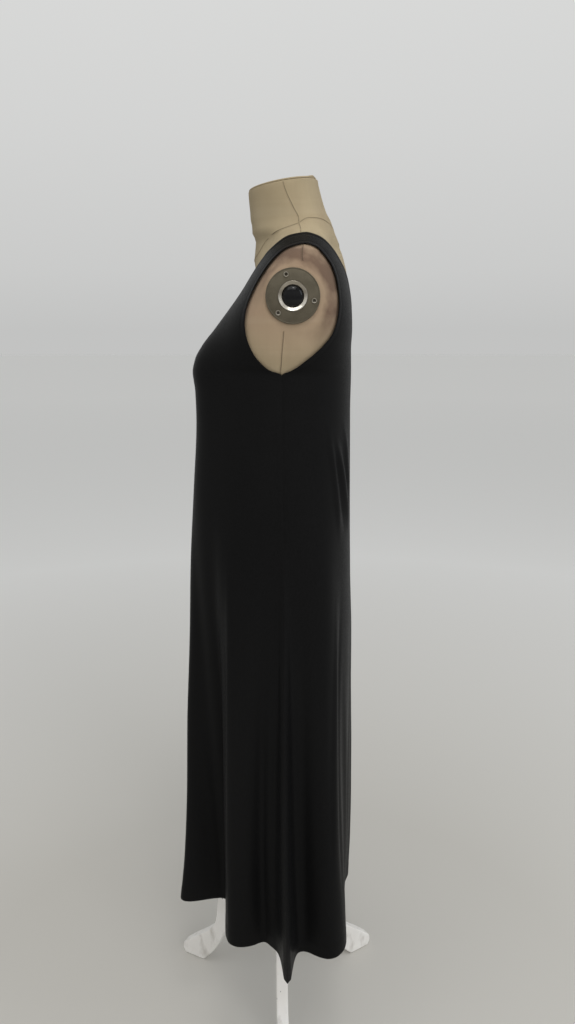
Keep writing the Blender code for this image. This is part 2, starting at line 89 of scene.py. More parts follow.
FORM_BODY = (
    (0.716, 0.1540, 0.010, 0.0890, 0.0900, 2.20, 0.0, 0.0, 0.0),
    (0.730, 0.1620, 0.010, 0.0950, 0.0960, 2.20, 0.0, 0.0, 0.0),
    (0.800, 0.1650, 0.010, 0.0990, 0.0980, 2.20, 0.0, 0.0, 0.0),
    (0.860, 0.1560, 0.009, 0.0980, 0.0960, 2.20, 0.0, 0.0, 0.0),
    (0.920, 0.1360, 0.007, 0.0900, 0.0870, 2.20, 0.0, 0.0, 0.0),
    (0.985, 0.1170, 0.005, 0.0830, 0.0790, 2.20, 0.0, 0.0, 0.0),
    (1.050, 0.1250, 0.004, 0.0880, 0.0880, 2.20, 0.0020, 0.0, 0.0),
    (1.100, 0.1340, 0.005, 0.0980, 0.0960, 2.25, 0.0090, 0.0, 0.0),
    (1.138, 0.1410, 0.006, 0.1110, 0.1010, 2.30, 0.0180, 0.0, 0.0),
) + UPPER_BODY
DRESS_BODY = (
    (0.270, 0.2030, 0.0160, 0.1630, 0.1010, 2.35, 0.0210, 0.0, 0.0),
    (0.350, 0.1990, 0.0140, 0.1545, 0.1060, 2.35, 0.0200, 0.0, 0.0),
    (0.450, 0.1940, 0.0120, 0.1485, 0.1090, 2.35, 0.0195, 0.0, 0.0),
    (0.600, 0.1850, 0.0115, 0.1450, 0.1090, 2.35, 0.0190, 0.0, 0.0),
    (0.750, 0.1770, 0.0115, 0.1390, 0.1070, 2.35, 0.0190, 0.0, 0.0),
    (0.850, 0.1710, 0.0110, 0.1362, 0.1045, 2.35, 0.0185, 0.0, 0.0),
    (1.000, 0.1600, 0.0095, 0.1258, 0.1035, 2.35, 0.0185, 0.0, 0.0),
    (1.100, 0.1510, 0.0085, 0.1180, 0.1035, 2.40, 0.0190, 0.0, 0.0),
    (1.140, 0.1485, 0.0080, 0.1175, 0.1040, 2.40, 0.0200, 0.0, 0.0),
) + UPPER_BODY
Fold = namedtuple("Fold", ("angle", "drift", "spread", "depth", "top", "growth", "sharpness"))
FOLDS = (
    (28.0, 2.0, 6.5, 0.012, 0.85, 1.20, 2.0),
    (43.0, -1.0, 11.5, -0.062, 0.98, 1.20, 4.0),
    (54.0, -2.0, 7.0, -0.020, 0.95, 1.20, 2.0),
    (67.0, 4.0, 7.0, 0.014, 0.95, 1.20, 2.0),
    (79.5, 0.0, 4.5, -0.010, 0.85, 1.20, 2.0),
    (90.0, 0.0, 6.0, 0.012, 0.93, 1.10, 2.0),
    (90.0, 0.0, 1.4, 0.061, 0.93, 1.25, 1.2),
    (110.0, -2.0, 10.2, 0.050, 0.97, 1.10, 2.4),
    (144.0, 2.0, 7.0, -0.008, 0.80, 1.10, 2.0),
    (166.0, -3.0, 9.0, 0.006, 0.90, 1.20, 2.0),
    (-3.0, 2.0, 12.0, -0.013, 0.93, 1.30, 2.0),
    (-27.0, -3.0, 7.0, 0.009, 0.85, 1.20, 2.0),
    (-44.0, 4.0, 10.5, -0.048, 0.95, 1.30, 3.0),
    (-64.0, -3.0, 8.5, 0.014, 0.97, 1.20, 2.0),
    (-78.0, 0.0, 5.5, -0.012, 0.83, 1.20, 2.0),
    (-90.0, 0.0, 7.0, 0.012, 0.93, 1.10, 2.0),
    (-90.0, 0.0, 1.9, 0.055, 0.90, 1.30, 1.8),
    (-108.0, 3.0, 9.0, 0.044, 0.94, 1.10, 2.3),
    (-134.0, -2.0, 8.5, -0.012, 0.86, 1.20, 2.0),
    (-157.0, 2.0, 9.0, 0.009, 0.92, 1.20, 2.0),
    (179.0, 0.0, 9.0, -0.007, 0.88, 1.20, 2.0),
)
Edge = namedtuple("Edge", ("neck_x", "neck_z", "arm_y", "arm_z"))
FRONT_EDGES = (
    (0.000, 1.182, -0.0100, 1.1765),
    (0.000, 1.197, -0.0250, 1.1900),
    (0.000, 1.212, -0.0350, 1.2070),
    (0.010, 1.228, -0.0400, 1.2250),
    (0.0235, 1.249, -0.0410, 1.2420),
    (0.037, 1.271, -0.0380, 1.2600),
    (0.0505, 1.292, -0.0315, 1.2775),
    (0.063, 1.311, -0.0220, 1.2960),
    (0.074, 1.327, -0.0100, 1.3140),
    (0.083, 1.340, 0.0040, 1.3300),
    (0.0905, 1.3495, 0.0190, 1.3400),
    (0.0925, 1.3580, 0.0305, 1.3435),
    (0.0890, 1.3645, 0.0400, 1.3455),
)
BACK_EDGES = (
    (0.000, 1.184, 0.0240, 1.1770),
    (0.000, 1.203, 0.0460, 1.1930),
    (0.000, 1.226, 0.0640, 1.2095),
    (0.000, 1.250, 0.0765, 1.2260),
    (0.022, 1.262, 0.0825, 1.2430),
    (0.040, 1.280, 0.0850, 1.2600),
    (0.0555, 1.2975, 0.0845, 1.2780),
    (0.069, 1.3125, 0.0810, 1.2980),
    (0.080, 1.3250, 0.0750, 1.3150),
    (0.0875, 1.3350, 0.0650, 1.3300),
    (0.0922, 1.3440, 0.0555, 1.3400),
    (0.0938, 1.3545, 0.0485, 1.3432),
    (0.0950, 1.3600, 0.0442, 1.3447),
    (0.0890, 1.3645, 0.0400, 1.3455),
)
ANGLE_STEP = 0.15
HEIGHT_STEP = 0.0006

# Fine cloth: its thickness, the columns in half a panel, and rows up the skirt
CLOTH = 0.0012
FRONT_FINE = 88
BACK_FINE = 80
HEM_ROWS = 12
HEM_DEPTH = 0.024
SKIRT_FINE = 146
UPPER_STEPS = 5
SEAM_DIP = 0.0006
SEAM_HALF = 0.0026
PUCKER = 0.00014
PUCKER_LENGTH = 0.041
EDGE_ROLL = 0.0005
EDGE_WIDTH = 0.008
STITCH_DIP = 0.00025
STITCH_HALF = 0.0012
HEM_ROLL = 0.0003
HEM_STEP = 0.2
PUCKER_SWAY = (1.7, 23.0)
SHOULDER_RISE = 0.03
SAME_ANGLE = 1e-9
PIECE_SHARP = 40.0
CLOTH_SHARP = 75.0

# Creases in the cloth: where each starts low and ends high, how far its middle bows,
# its half width, its height, minus for a trough, and how much wider its far side is
Crease = namedtuple(
    "Crease", ("angle_low", "z_low", "angle_high", "z_high", "bow", "spread", "height", "lean"))
BODY_RADIUS = 0.17
CREASE_FADE = 0.35
SEAM_CALM = 3.0
CREASES = (
    # Folds at the left of the back's waist
    (126.0, 0.905, 115.5, 1.110, 0.5, 0.0055, 0.0026, 1.6),
    (133.5, 0.915, 117.5, 1.095, 1.0, 0.0055, -0.0026, 1.0),
    (143.0, 0.905, 119.0, 1.085, 2.0, 0.0065, 0.0034, 1.7),
    (150.0, 0.920, 125.0, 1.085, 2.0, 0.0070, -0.0026, 1.0),
    (148.0, 0.950, 131.0, 1.105, 1.0, 0.0060, 0.0022, 1.4),
    # Long lines down the left of the skirt, front to back
    (50.0, 0.240, 47.0, 0.860, 2.0, 0.0110, -0.0030, 1.5),
    (60.0, 0.200, 56.0, 0.900, 0.5, 0.0085, -0.0030, 1.0),
    (65.6, 0.180, 60.5, 0.940, 0.3, 0.0055, 0.0040, 2.4),
    (72.0, 0.250, 71.0, 0.700, 0.5, 0.0070, 0.0010, 1.0),
    (76.4, 0.180, 79.2, 0.800, 0.3, 0.0075, -0.0030, 1.4),
    (83.0, 0.230, 84.0, 0.760, -0.3, 0.0060, 0.0014, 1.0),
    (98.4, 0.180, 98.8, 0.860, 0.3, 0.0080, -0.0022, 1.3),
    (105.4, 0.230, 108.6, 0.820, 0.0, 0.0075, 0.0016, 1.2),
    (109.6, 0.330, 120.5, 0.870, -3.2, 0.0044, 0.0026, 2.6),
    (113.6, 0.300, 125.5, 0.860, -3.2, 0.0075, -0.0034, 1.0),
    (131.0, 0.180, 128.0, 0.740, 1.0, 0.0110, 0.0026, 1.3),
    # Under the left arm
    (86.4, 0.985, 85.6, 1.095, 0.2, 0.0028, -0.0007, 1.5),
    (98.0, 1.040, 104.0, 1.150, 1.5, 0.0070, -0.0010, 1.3),
    (76.0, 1.020, 70.0, 1.145, -1.0, 0.0080, -0.0009, 1.3),
    # Back
    (158.0, 0.200, 163.0, 0.760, 1.0, 0.0120, -0.0028, 1.2),
    (172.0, 0.180, 170.0, 0.700, -1.0, 0.0100, 0.0030, 1.4),
    (150.0, 0.980, 162.0, 1.160, 2.0, 0.0090, -0.0014, 1.4),
    (-172.0, 0.300, -168.0, 0.820, 1.0, 0.0110, -0.0030, 1.0),
    (-176.0, 0.860, -171.0, 1.090, 1.0, 0.0080, 0.0015, 1.4),
    (-150.0, 0.190, -152.0, 0.690, -1.0, 0.0090, 0.0034, 1.5),
    (-141.0, 0.230, -143.0, 0.780, 0.5, 0.0110, -0.0034, 1.0),
    (-139.0, 0.890, -119.0, 1.085, -2.0, 0.0062, 0.0028, 1.5),
    (-131.0, 0.905, -116.5, 1.070, -1.5, 0.0062, -0.0026, 1.0),
    (-125.0, 0.920, -113.0, 1.120, -0.5, 0.0060, 0.0022, 1.5),
    (-150.0, 0.960, -129.0, 1.110, -2.0, 0.0075, -0.0020, 1.2),
    # Right side
    (-113.0, 0.260, -121.0, 0.820, 3.0, 0.0055, 0.0032, 2.2),
    (-117.5, 0.240, -126.0, 0.780, 3.0, 0.0085, -0.0032, 1.0),
    (-99.0, 0.180, -98.0, 0.780, 0.2, 0.0080, -0.0024, 1.3),
    (-82.5, 0.210, -84.0, 0.690, 0.3, 0.0060, 0.0014, 1.0),
    (-75.5, 0.180, -79.0, 0.740, 0.5, 0.0080, -0.0028, 1.3),
    (-64.0, 0.180, -58.5, 0.880, -1.0, 0.0060, 0.0032, 2.0),
    (-58.0, 0.220, -53.0, 0.840, -1.0, 0.0090, -0.0032, 1.0),
    (-86.0, 0.960, -85.0, 1.080, -0.2, 0.0030, -0.0007, 1.5),
    (-74.0, 1.030, -67.0, 1.150, 1.0, 0.0080, -0.0010, 1.3),
    # Front
    (-38.0, 0.300, -34.0, 0.960, -1.5, 0.0120, 0.0026, 1.3),
    (-21.0, 0.180, -25.0, 0.800, 1.0, 0.0100, -0.0030, 1.2),
    (-12.0, 0.250, -17.0, 0.700, 1.0, 0.0090, 0.0024, 1.4),
    (-4.0, 0.520, -7.0, 1.020, -1.0, 0.0110, -0.0020, 1.2),
    (7.0, 0.180, 10.0, 0.740, 1.0, 0.0100, 0.0030, 1.5),
    (15.0, 0.200, 17.0, 0.900, -1.0, 0.0120, -0.0030, 1.1),
    (24.0, 0.420, 27.0, 1.040, 0.5, 0.0100, 0.0018, 1.4),
    (36.0, 0.200, 33.0, 0.640, 1.0, 0.0090, 0.0020, 1.2),
    (4.0, 1.060, 12.0, 1.185, -1.0, 0.0080, -0.0010, 1.4),
    (-5.0, 1.050, -14.0, 1.180, 1.0, 0.0080, -0.0011, 1.4),
)

# Dress form
FORM_SIDES = 180
FORM_LOW = 0.716
FORM_LEVELS = 112
NECK_START = 1.405
NECK_LEVELS = 8
ARM_FACE_X = 0.1625
ARM_SOFTNESS = 0.003
NECK_TOP_FRONT = (-0.044, 1.4335)
NECK_TOP_SLOPE = 0.165
FORM_EDGE = 0.0015
NECK_EDGE_INSET = 0.0007
NECK_EDGE_DROP = 0.0012
LEVEL_PASSES = 30
# Radius at which a turn round the form is a length of its linen
FORM_CLOTH_RADIUS = 0.12

# Cap on the neck: its profile as inset and lift, and the angle, spread and rise of its tip
CAP_PROFILE = (
    (0.0022, GAP), (0.0013, 0.0008), (0.0010, 0.0018), (0.0017, 0.0027), (0.0034, 0.0031),
    (0.0120, 0.0030), (0.0300, 0.0027),
)
CAP_TIP = (152.0, 9.0, 0.0024)
CAP_TIP_REACH = 0.008

# Seams of the linen: the welt's profile across, as width and lift, and each seam's route
# as angle and height
WELT_STEP = 0.003
ROUTE_STEPS = 8
STITCH_LENGTH = 0.0032
WELT = (
    (-0.0021, -0.0002), (-0.0011, 0.0005), (-0.0003, 0.0003), (0.0, -0.0001), (0.0003, 0.0003),
    (0.0011, 0.0005), (0.0021, -0.0002),
)
SIDE_SEAMS = (
    ((90.0, 1.4405), (90.0, 1.425), (89.6, 1.407), (87.0, 1.393), (84.0, 1.382)),
    ((84.0, 1.382), (84.8, 1.375), (85.0, 1.365), (89.0, 1.345), (91.0, 1.322)),
    ((87.0, 1.228), (88.0, 1.200), (89.0, 1.172), (90.0, 1.100), (90.0, 0.950), (90.0, 0.722)),
)
NECK_RING = (
    (0.0, 1.334), (9.0, 1.336), (20.0, 1.343), (28.0, 1.354), (34.0, 1.360), (45.0, 1.366),
    (56.0, 1.371), (66.0, 1.375), (74.0, 1.378), (84.0, 1.382), (92.0, 1.387), (101.0, 1.390),
    (122.0, 1.390), (140.0, 1.386), (160.0, 1.382), (180.0, 1.380),
)
BACK_SEAM = (
    (180.0, 1.452), (180.0, 1.420), (180.0, 1.380), (180.0, 1.250), (180.0, 1.000), (180.0, 0.722),
)

# Arm plates: their middle, and profiles as distance out of the arm's face and radius
PLATE_THICK = 0.0037
PLATE_SIDES = 96
PLATE_PROFILE = (
    (0.0, 0.0200), (0.0030, 0.0200), (0.0036, 0.0206), (0.0037, 0.0350), (0.0034, 0.0354),
    (0.0034, 0.0360), (0.0037, 0.0364), (0.0036, 0.0370), (0.0030, 0.0375), (0.0, 0.0375),
)
ARM_CENTRE = (0.0233, 1.2751)
CUP_SEAT = -0.0016
CUP_PROFILE = (
    (-0.0020, 0.0138), (-0.0013, 0.0143), (-0.0006, 0.0158), (0.0003, 0.0177), (0.0010, 0.0190),
    (0.0013, 0.0196), (0.0010, 0.0201), (0.0001, 0.0203), (-0.0003, 0.0199),
)
DOME_RADIUS = 0.0142
DOME_HEIGHT = 0.0066
DOME_SIDES = 64
DOME_STEPS = 15
SOFT_ANGLE = 60.0
SCREW_SIDES = 36
SCREW_PROFILE = (
    (0.0, 0.0037), (0.0008, 0.0036), (0.0012, 0.0033), (0.0012, 0.0029), (0.0009, 0.0025),
    (0.0001, 0.0023),
)
SCREW_HEX = 0.0024

# Stand: its round pieces with their sides and edge widths, and its legs
ROUND_PIECES = (("stand_collar", 64, 0.0025), ("stand_column", 48, 0.0006), ("stand_hub", 64, 0.003))
EDGE_SHARE = 0.3
LEG_WIDTH = 0.020
LEG_ANGLES = (3.0, 123.0, 243.0)
LEG_BEVEL = 0.0024
BEVEL_SEGMENTS = 3
SHARP_ANGLE = 35.0
LEG_OUTLINE = (
    (0.0243, 0.262), (0.060, 0.255), (0.100, 0.222), (0.122, 0.178), (0.131, 0.138),
    (0.134, 0.110), (0.142, 0.086), (0.164, 0.064), (0.187, 0.045), (0.2130, 0.022),
    (0.2145, 0.010), (0.2090, 0.0), (0.166, 0.0), (0.150, 0.018), (0.135, 0.040),
    (0.119, 0.074), (0.109, 0.106), (0.101, 0.140), (0.085, 0.172), (0.058, 0.192),
    (0.0243, 0.198),
)
LEG_CORNERS = (0, 9, 10, 11, 12, 20)
LEG_STEPS = 5

# Finishes: threads, the dark ring of soil and painted shade and the tint round the arm plates, and the
# painted shade over the cups' upper half, in metres
JERSEY_THREADS = (0.0011, 0.0014)
LINEN_THREADS = (0.0009, 0.0010)
SOIL_SHADE_INNER = (0.042, 0.053)
SOIL_SHADE_OUTER = (0.090, 0.062)
SOIL_SHADE_HEIGHT = (-0.050, 0.016)
TINT_REACH = (0.150, 0.075)
TINT_HEIGHT = (-0.085, -0.020)
ARM_OUTSIDE = (0.105, 0.135)
# Heights, from the arm's middle, over which the cups' painted shade comes in
TOP_SHADE_HEIGHT = (-0.008, 0.004)

# Studio: floor, and the surround's tone by how far up the eye looks
FLOOR_SIZE = 80.0
FLOOR_DROP = 0.0005
# Distances over which the floor is painted lighter, painted light for where the lamps no longer reach
FLOOR_NEAR = (0.6, 3.0)
FLOOR_FAR = (3.5, 14.0)
WORLD_TINT = (0.985, 0.99, 0.98)
WORLD_TONES = ((0.0, 0.55), (0.07, 0.60), (0.22, 0.66), (0.36, 0.70), (0.60, 0.54), (1.0, 0.46))

# Soft lights: name, place, what each points at, size, power, tint, and whether shiny
# pieces show it
LIGHTS = (
    ("ceiling", (0.9, -0.2, 3.3), (0.0, 0.0, 0.9), 2.2, 24.0, (1.0, 0.99, 0.97), True),
    ("window", (0.7, 2.4, 2.3), (0.0, 0.05, 0.9), 1.4, 12.0, (0.86, 0.92, 1.0), True),
    ("fill", (3.0, 1.2, 2.2), (0.0, 0.0, 1.0), 1.8, 31.0, (1.0, 0.99, 0.98), False),
    ("lamp", (1.1, 0.15, 3.0), (0.0, 0.0, 1.2), 0.35, 5.0, (1.0, 0.99, 0.97), True),
)

# Camera, as the photo was taken
CAMERA_PLACE = (1.29, 0.016, 1.23)
CAMERA_TILT = 77.12
CAMERA_TURN = 90.0
LENS_MM = 28.0
SENSOR_MM = 36.0


def smooth_columns(rows, columns):
    """Turn a table into one smooth curve a column, without overshoot between rows."""
    table = np.array(rows, dtype=float)
    z = table[:, 0]
    step = np.diff(z)
    curves = {}
    for index, name in enumerate(columns[1:], start=1):
        value = table[:, index]
        rise = np.diff(value) / step
        slope = np.zeros(len(z))
        same = rise[:-1] * rise[1:] > 0.0
        mean = 2.0 * rise[:-1] * rise[1:] / np.where(same, rise[:-1] + rise[1:], 1.0)
        slope[1:-1] = np.where(same, mean, 0.0)
        slope[0] = rise[0]
        slope[-1] = rise[-1]
        curves[name] = (z, value, slope)
    return curves


def read_curve(curve, height):
    """Read a smooth column at the given heights."""
    z, value, slope = curve
    height = np.clip(height, z[0], z[-1])
    low = np.clip(np.searchsorted(z, height) - 1, 0, len(z) - 2)
    step = z[low + 1] - z[low]
    t = (height - z[low]) / step
    start = (2 * t ** 3 - 3 * t ** 2 + 1) * value[low] + (t ** 3 - 2 * t ** 2 + t) * step * slope[low]
    end = (3 * t ** 2 - 2 * t ** 3) * value[low + 1] + (t ** 3 - t ** 2) * step * slope[low + 1]
    return start + end


def body_surface(curves, folds, height, angle):
    """Points of a body at the given heights and angles, with its flutes."""
    read = {name: read_curve(curve, height) for name, curve in curves.items()}
    turn = np.radians(angle)
    depth = np.where(np.cos(turn) >= 0.0, read["front"], read["back"])
    across = (np.abs(np.sin(turn)) / read["half_width"]) ** read["power"]
    along = (np.abs(np.cos(turn)) / depth) ** read["power"]
    radius = (across + along) ** (-1.0 / read["power"])
    radius = radius + read["bust"] * np.exp(-((np.abs(angle) - BUST_ANGLE) / BUST_SPREAD) ** 2)
    radius = radius + read["neck"] * np.exp(-(angle / NECK_SPREAD) ** 2)
    radius = radius + read["nape"] * np.exp(-((np.abs(angle) - 180.0) / NAPE_SPREAD) ** 2)
    for fold in map(Fold._make, folds):
        reach = np.clip((fold.top - height) / (fold.top - HEM_Z), 0.0, 1.0)
        away = (angle - fold.angle - fold.drift * (1.0 - reach) + 180.0) % 360.0 - 180.0
        wave = np.exp(-np.abs(away / fold.spread) ** fold.sharpness)
        radius = radius + fold.depth * reach ** fold.growth * wave
    return np.stack((radius * np.sin(turn), read["side_y"] - radius * np.cos(turn), height), axis=-1)


DRESS_CURVES = smooth_columns(DRESS_BODY, SECTION_COLUMNS)
FORM_CURVES = smooth_columns(FORM_BODY, SECTION_COLUMNS)


def dress_surface(height, angle):
    """Points of the surface that the dress follows."""
    return body_surface(DRESS_CURVES, FOLDS, height, angle)


def form_surface(height, angle):
    """Points of the form, which turns softly into the flat face at each arm."""
    point = body_surface(FORM_CURVES, (), height, angle)
    reach = np.abs(point[..., 0])
    soft = -ARM_SOFTNESS * np.log(np.exp(-reach / ARM_SOFTNESS) + math.exp(-ARM_FACE_X / ARM_SOFTNESS))
    point[..., 0] = np.sign(point[..., 0]) * np.maximum(soft, 0.0)
    return point


def unit(vectors):
    """Vectors of length one."""
    return vectors / np.linalg.norm(vectors, axis=-1, keepdims=True)


def surface_frame(surface, height, angle):
    """Points of a surface and its outward directions."""
    ahead = surface(height, angle + ANGLE_STEP)
    behind = surface(height, angle - ANGLE_STEP)
    above = surface(height + HEIGHT_STEP, angle)
    below = surface(height - HEIGHT_STEP, angle)
    return surface(height, angle), unit(np.cross(ahead - behind, above - below))


def smooth_step(value):
    """0 below 0, 1 above 1 and a soft slope between."""
    t = np.clip(value, 0.0, 1.0)
    return t * t * (3.0 - 2.0 * t)


def find_angle(height, axis, target, ends):
    """Angle between two ends where the body reaches a given x or y at this height."""
    low, high = ends
    level = np.array([height])

    def reach(angle):
        return body_surface(DRESS_CURVES, (), level, np.array([angle]))[0, axis]

    rising = reach(high) > reach(low)
    for _ in range(48):
        middle = 0.5 * (low + high)
        if (reach(middle) < target) == rising:
            low = middle
        else:
            high = middle
    return 0.5 * (low + high)


def column_shares(side, back, count):
    """Shares of a half panel's angle, closer where the hem turns or runs far out."""
    fine = np.linspace(0.0, 1.0, 721)
    angle = side * (180.0 - 90.0 * fine if back else 90.0 * fine)
    ring = dress_surface(np.full(fine.shape, HEM_Z), angle)[:, :2]
    step = np.diff(ring, axis=0)
    heading = np.unwrap(np.arctan2(step[:, 1], step[:, 0]))
    turning = np.abs(np.diff(heading, append=heading[-1]))
    weight = np.concatenate(([0.0], np.cumsum(np.linalg.norm(step, axis=1) + TURN_WEIGHT * turning)))
    return np.interp(np.linspace(0.0, weight[-1], count + 1), weight, fine)


def panel_rows(edges, back):
    """Rows of a half panel: index, then height and angle of its inner and outer ends."""
    middle = 180.0 if back else 0.0
    rows = []
    for height in np.linspace(HEM_Z, UNDERARM_Z, SKIRT_ROWS + 1):
        rows.append((len(rows), height, middle, height, 90.0))
    for edge in map(Edge._make, edges[:-1]):
        inner = middle
        if edge.neck_x > 0.0:
            inner = find_angle(edge.neck_z, 0, edge.neck_x, (middle, 90.0))
        outer = find_angle(edge.arm_z, 1, edge.arm_y, (middle, 90.0))
        rows.append((len(rows), edge.neck_z, inner, edge.arm_z, outer))
    seam = Edge._make(edges[-1])
    rows.append((len(rows), seam.neck_z, 90.0, seam.arm_z, 90.0))
    return rows


def fine_rows(edges, back):
    """Fine rows of a half panel, and the rows where the armhole and the neck begin."""
    rows = panel_rows(edges, back)
    neck_row = SKIRT_ROWS + sum(1 for edge in map(Edge._make, edges) if edge.neck_x == 0.0)
    hem_part = SKIRT_ROWS * HEM_DEPTH / (UNDERARM_Z - HEM_Z)
    skirt = np.concatenate((np.linspace(0.0, hem_part, HEM_ROWS + 1)[:-1],
                            np.linspace(hem_part, SKIRT_ROWS, SKIRT_FINE + 1)))
    upper = np.linspace(SKIRT_ROWS, len(rows) - 1, (len(rows) - 1 - SKIRT_ROWS) * UPPER_STEPS + 1)
    index = np.concatenate((skirt, upper[1:]))
    arm_start = len(skirt) - 1
    neck_start = arm_start + (neck_row - SKIRT_ROWS) * UPPER_STEPS
    names = ("index", "inner_z", "inner", "outer_z", "outer")
    whole = smooth_columns(rows, names)
    above_arm = smooth_columns(rows[SKIRT_ROWS:], names)
    above_neck = smooth_columns(rows[neck_row:], names)
    outer = np.where(index <= SKIRT_ROWS, 90.0, read_curve(above_arm["outer"], index))
    inner = np.where(index <= neck_row, 180.0 if back else 0.0, read_curve(above_neck["inner"], index))
    outer_z = read_curve(whole["outer_z"], index)
    inner_z = read_curve(whole["inner_z"], index)
    return inner_z, inner, outer_z, outer, arm_start, neck_start


def crease_relief(heights, angles, along):
    """Height of the creases over a half panel's grid, by distance along its rows."""
    relief = np.zeros(angles.shape)
    middle = angles.mean()
    forward = 1.0 if angles[0, -1] > angles[0, 0] else -1.0
    for crease in map(Crease._make, CREASES):
        rise = crease.z_high - crease.z_low
        turn = crease.angle_high - crease.angle_low
        t = np.clip((heights - crease.z_low) / rise, 0.0, 1.0)
        at = crease.angle_low + turn * t + crease.bow * 4.0 * t * (1.0 - t)
        at = (at - middle + 180.0) % 360.0 - 180.0 + middle
        place = np.empty(at.shape)
        for row in range(len(at)):
            key = forward * angles[row]
            place[row] = np.interp(forward * at[row], key, along[row])
            past = forward * at[row] - np.clip(forward * at[row], key[0], key[-1])
            place[row] += np.radians(past) * BODY_RADIUS
        tilt = math.atan2(abs(math.radians(turn)) * BODY_RADIUS, rise)
        offset = (along - place) * math.cos(tilt)
        width = np.where(offset * forward > 0.0, crease.spread * crease.lean, crease.spread)
        fade = smooth_step(t / CREASE_FADE) * smooth_step((1.0 - t) / CREASE_FADE)
        relief += crease.height * fade * np.exp(-(offset / width) ** 2)
    return relief * smooth_step((np.abs(np.abs(angles) - 90.0)) / SEAM_CALM)


def distance_to_line(points, line):
    """Distance from each point of a grid to the nearest point of a line."""
    flat = points.reshape(-1, 3)
    nearest = np.full(len(flat), np.inf)
    for spot in line:
        nearest = np.minimum(nearest, np.linalg.norm(flat - spot, axis=1))
    return nearest.reshape(points.shape[:-1])


def edge_relief(points, along, up, arm_start, neck_start):
    """Rolled edges, the hem's turn-up and the seams' dips on a half panel."""
    relief = np.zeros(along.shape)
    arm = distance_to_line(points, points[arm_start:, -1])
    neck = distance_to_line(points, points[neck_start:, 0])
    for away in (arm, neck):
        relief += EDGE_ROLL * (1.0 - smooth_step(away / EDGE_WIDTH))
        relief -= STITCH_DIP * np.exp(-((away - EDGE_WIDTH) / STITCH_HALF) ** 2)
    from_edge = up / HEM_DEPTH - (1.0 - HEM_STEP)
    relief += HEM_ROLL * (1.0 - smooth_step(from_edge / HEM_STEP))
    from_side = along[:, -1:] - along
    from_side[arm_start + 1:] = 1.0
    sway = PUCKER_SWAY[0] * np.sin(up * PUCKER_SWAY[1])
    wave = 1.0 + np.sin(2.0 * math.pi * up / PUCKER_LENGTH + sway)
    relief -= (SEAM_DIP + PUCKER * wave) * np.exp(-(from_side / SEAM_HALF) ** 2)
    shoulder = distance_to_line(points, points[-1])
    relief -= SEAM_DIP * np.exp(-(shoulder / SEAM_HALF) ** 2)
    return relief


def half_panel(rows, shares, side):
    """Outer and inner points and cloth coordinates of one half of a panel, as grids."""
    inner_z, inner, outer_z, outer, arm_start, neck_start = rows
    level = 0.5 * (inner_z + outer_z)
    mix = np.clip((level - SHARE_MIX_Z[0]) / (SHARE_MIX_Z[1] - SHARE_MIX_Z[0]), 0.0, 1.0)[:, None]
    share = (1.0 - mix) * shares[None] + mix * np.linspace(0.0, 1.0, len(shares))[None]
    heights = inner_z[:, None] + (outer_z - inner_z)[:, None] * share
    angles = side * (inner[:, None] + (outer - inner)[:, None] * share)
    point, outward = surface_frame(dress_surface, heights, angles)
    along = np.concatenate((np.zeros((len(heights), 1)),
                            np.cumsum(np.linalg.norm(np.diff(point, axis=1), axis=2), axis=1)), axis=1)
    up = np.concatenate((np.zeros((1, len(shares))),
                         np.cumsum(np.linalg.norm(np.diff(point, axis=0), axis=2), axis=0)), axis=0)
    ridge = np.exp(-((np.abs(angles) - 90.0) / SHOULDER_SPREAD) ** 2)
    ridge = ridge * np.clip((heights - SHOULDER_LOW) / SHOULDER_RISE, 0.0, 1.0)
    lift = EASE + (SHOULDER_EASE - EASE) * ridge + WALL
    lift = lift + crease_relief(heights, angles, along)
    lift = lift + edge_relief(point, along, up, arm_start, neck_start)
    at_seam = np.abs(np.abs(angles) - 90.0) < SAME_ANGLE
    outer_points = point + outward * lift[..., None]
    inner_points = point + outward * (lift - CLOTH)[..., None]
    cloth = np.stack((side * along, up), axis=-1)
    return outer_points, inner_points, cloth, at_seam


def closed_wall(outer, inner, round_edge, faces):
    """Points and faces of a closed wall between two sheets, round at its free edges."""
    count = len(outer)
    walls = list(faces) + [[corner + count for corner in reversed(face)] for face in faces]
    edges = {(a, b) for face in faces for a, b in zip(face, face[1:] + face[:1])}
    border = sorted(edge for edge in edges if (edge[1], edge[0]) not in edges)
    push = np.zeros((count, 3))
    for a, b in border:
        sideways = np.cross(outer[b] - outer[a], outer[a] - inner[a])
        push[[a, b]] += sideways / np.linalg.norm(sideways)
    rim = sorted({corner for edge in border for corner in edge})
    place = {corner: 2 * count + order for order, corner in enumerate(rim)}
    sideways = push[rim] / np.linalg.norm(push[rim], axis=1, keepdims=True)
    middle = 0.5 * (outer[rim] + inner[rim]) + sideways * (0.5 * CLOTH * round_edge[rim])[:, None]
    for a, b in border:
        walls.append([b, a, place[a], place[b]])
        walls.append([place[b], place[a], a + count, b + count])
    return np.concatenate((outer, inner, middle)), walls, np.array(rim)


def mesh_piece(name, points, faces, finish, replaced=(), smooth=PIECE_SHARP):
    """A piece from computed points and faces that rides on the body."""
    mesh = bpy.data.meshes.new(name)
    mesh.from_pydata([tuple(map(float, p)) for p in points], [], [list(map(int, f)) for f in faces])
    mesh.validate()
    mesh.shade_smooth()
    mesh.set_sharp_from_angle(angle=math.radians(smooth))
    mesh.materials.append(finish)
    piece = bpy.data.objects.new(name, mesh)
    bpy.context.scene.collection.objects.link(piece)
    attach(piece, BODY)
    if replaced:
        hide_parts(*replaced)
    return piece


def add_cloth_map(piece, cloth):
    """Store cloth coordinates, in metres, as the piece's map named cloth."""
    layer = piece.data.uv_layers.new(name="cloth")
    corner = np.empty(len(piece.data.loops), dtype=np.int32)
    piece.data.loops.foreach_get("vertex_index", corner)
    layer.data.foreach_set("uv", cloth[corner].astype(np.float32).ravel())


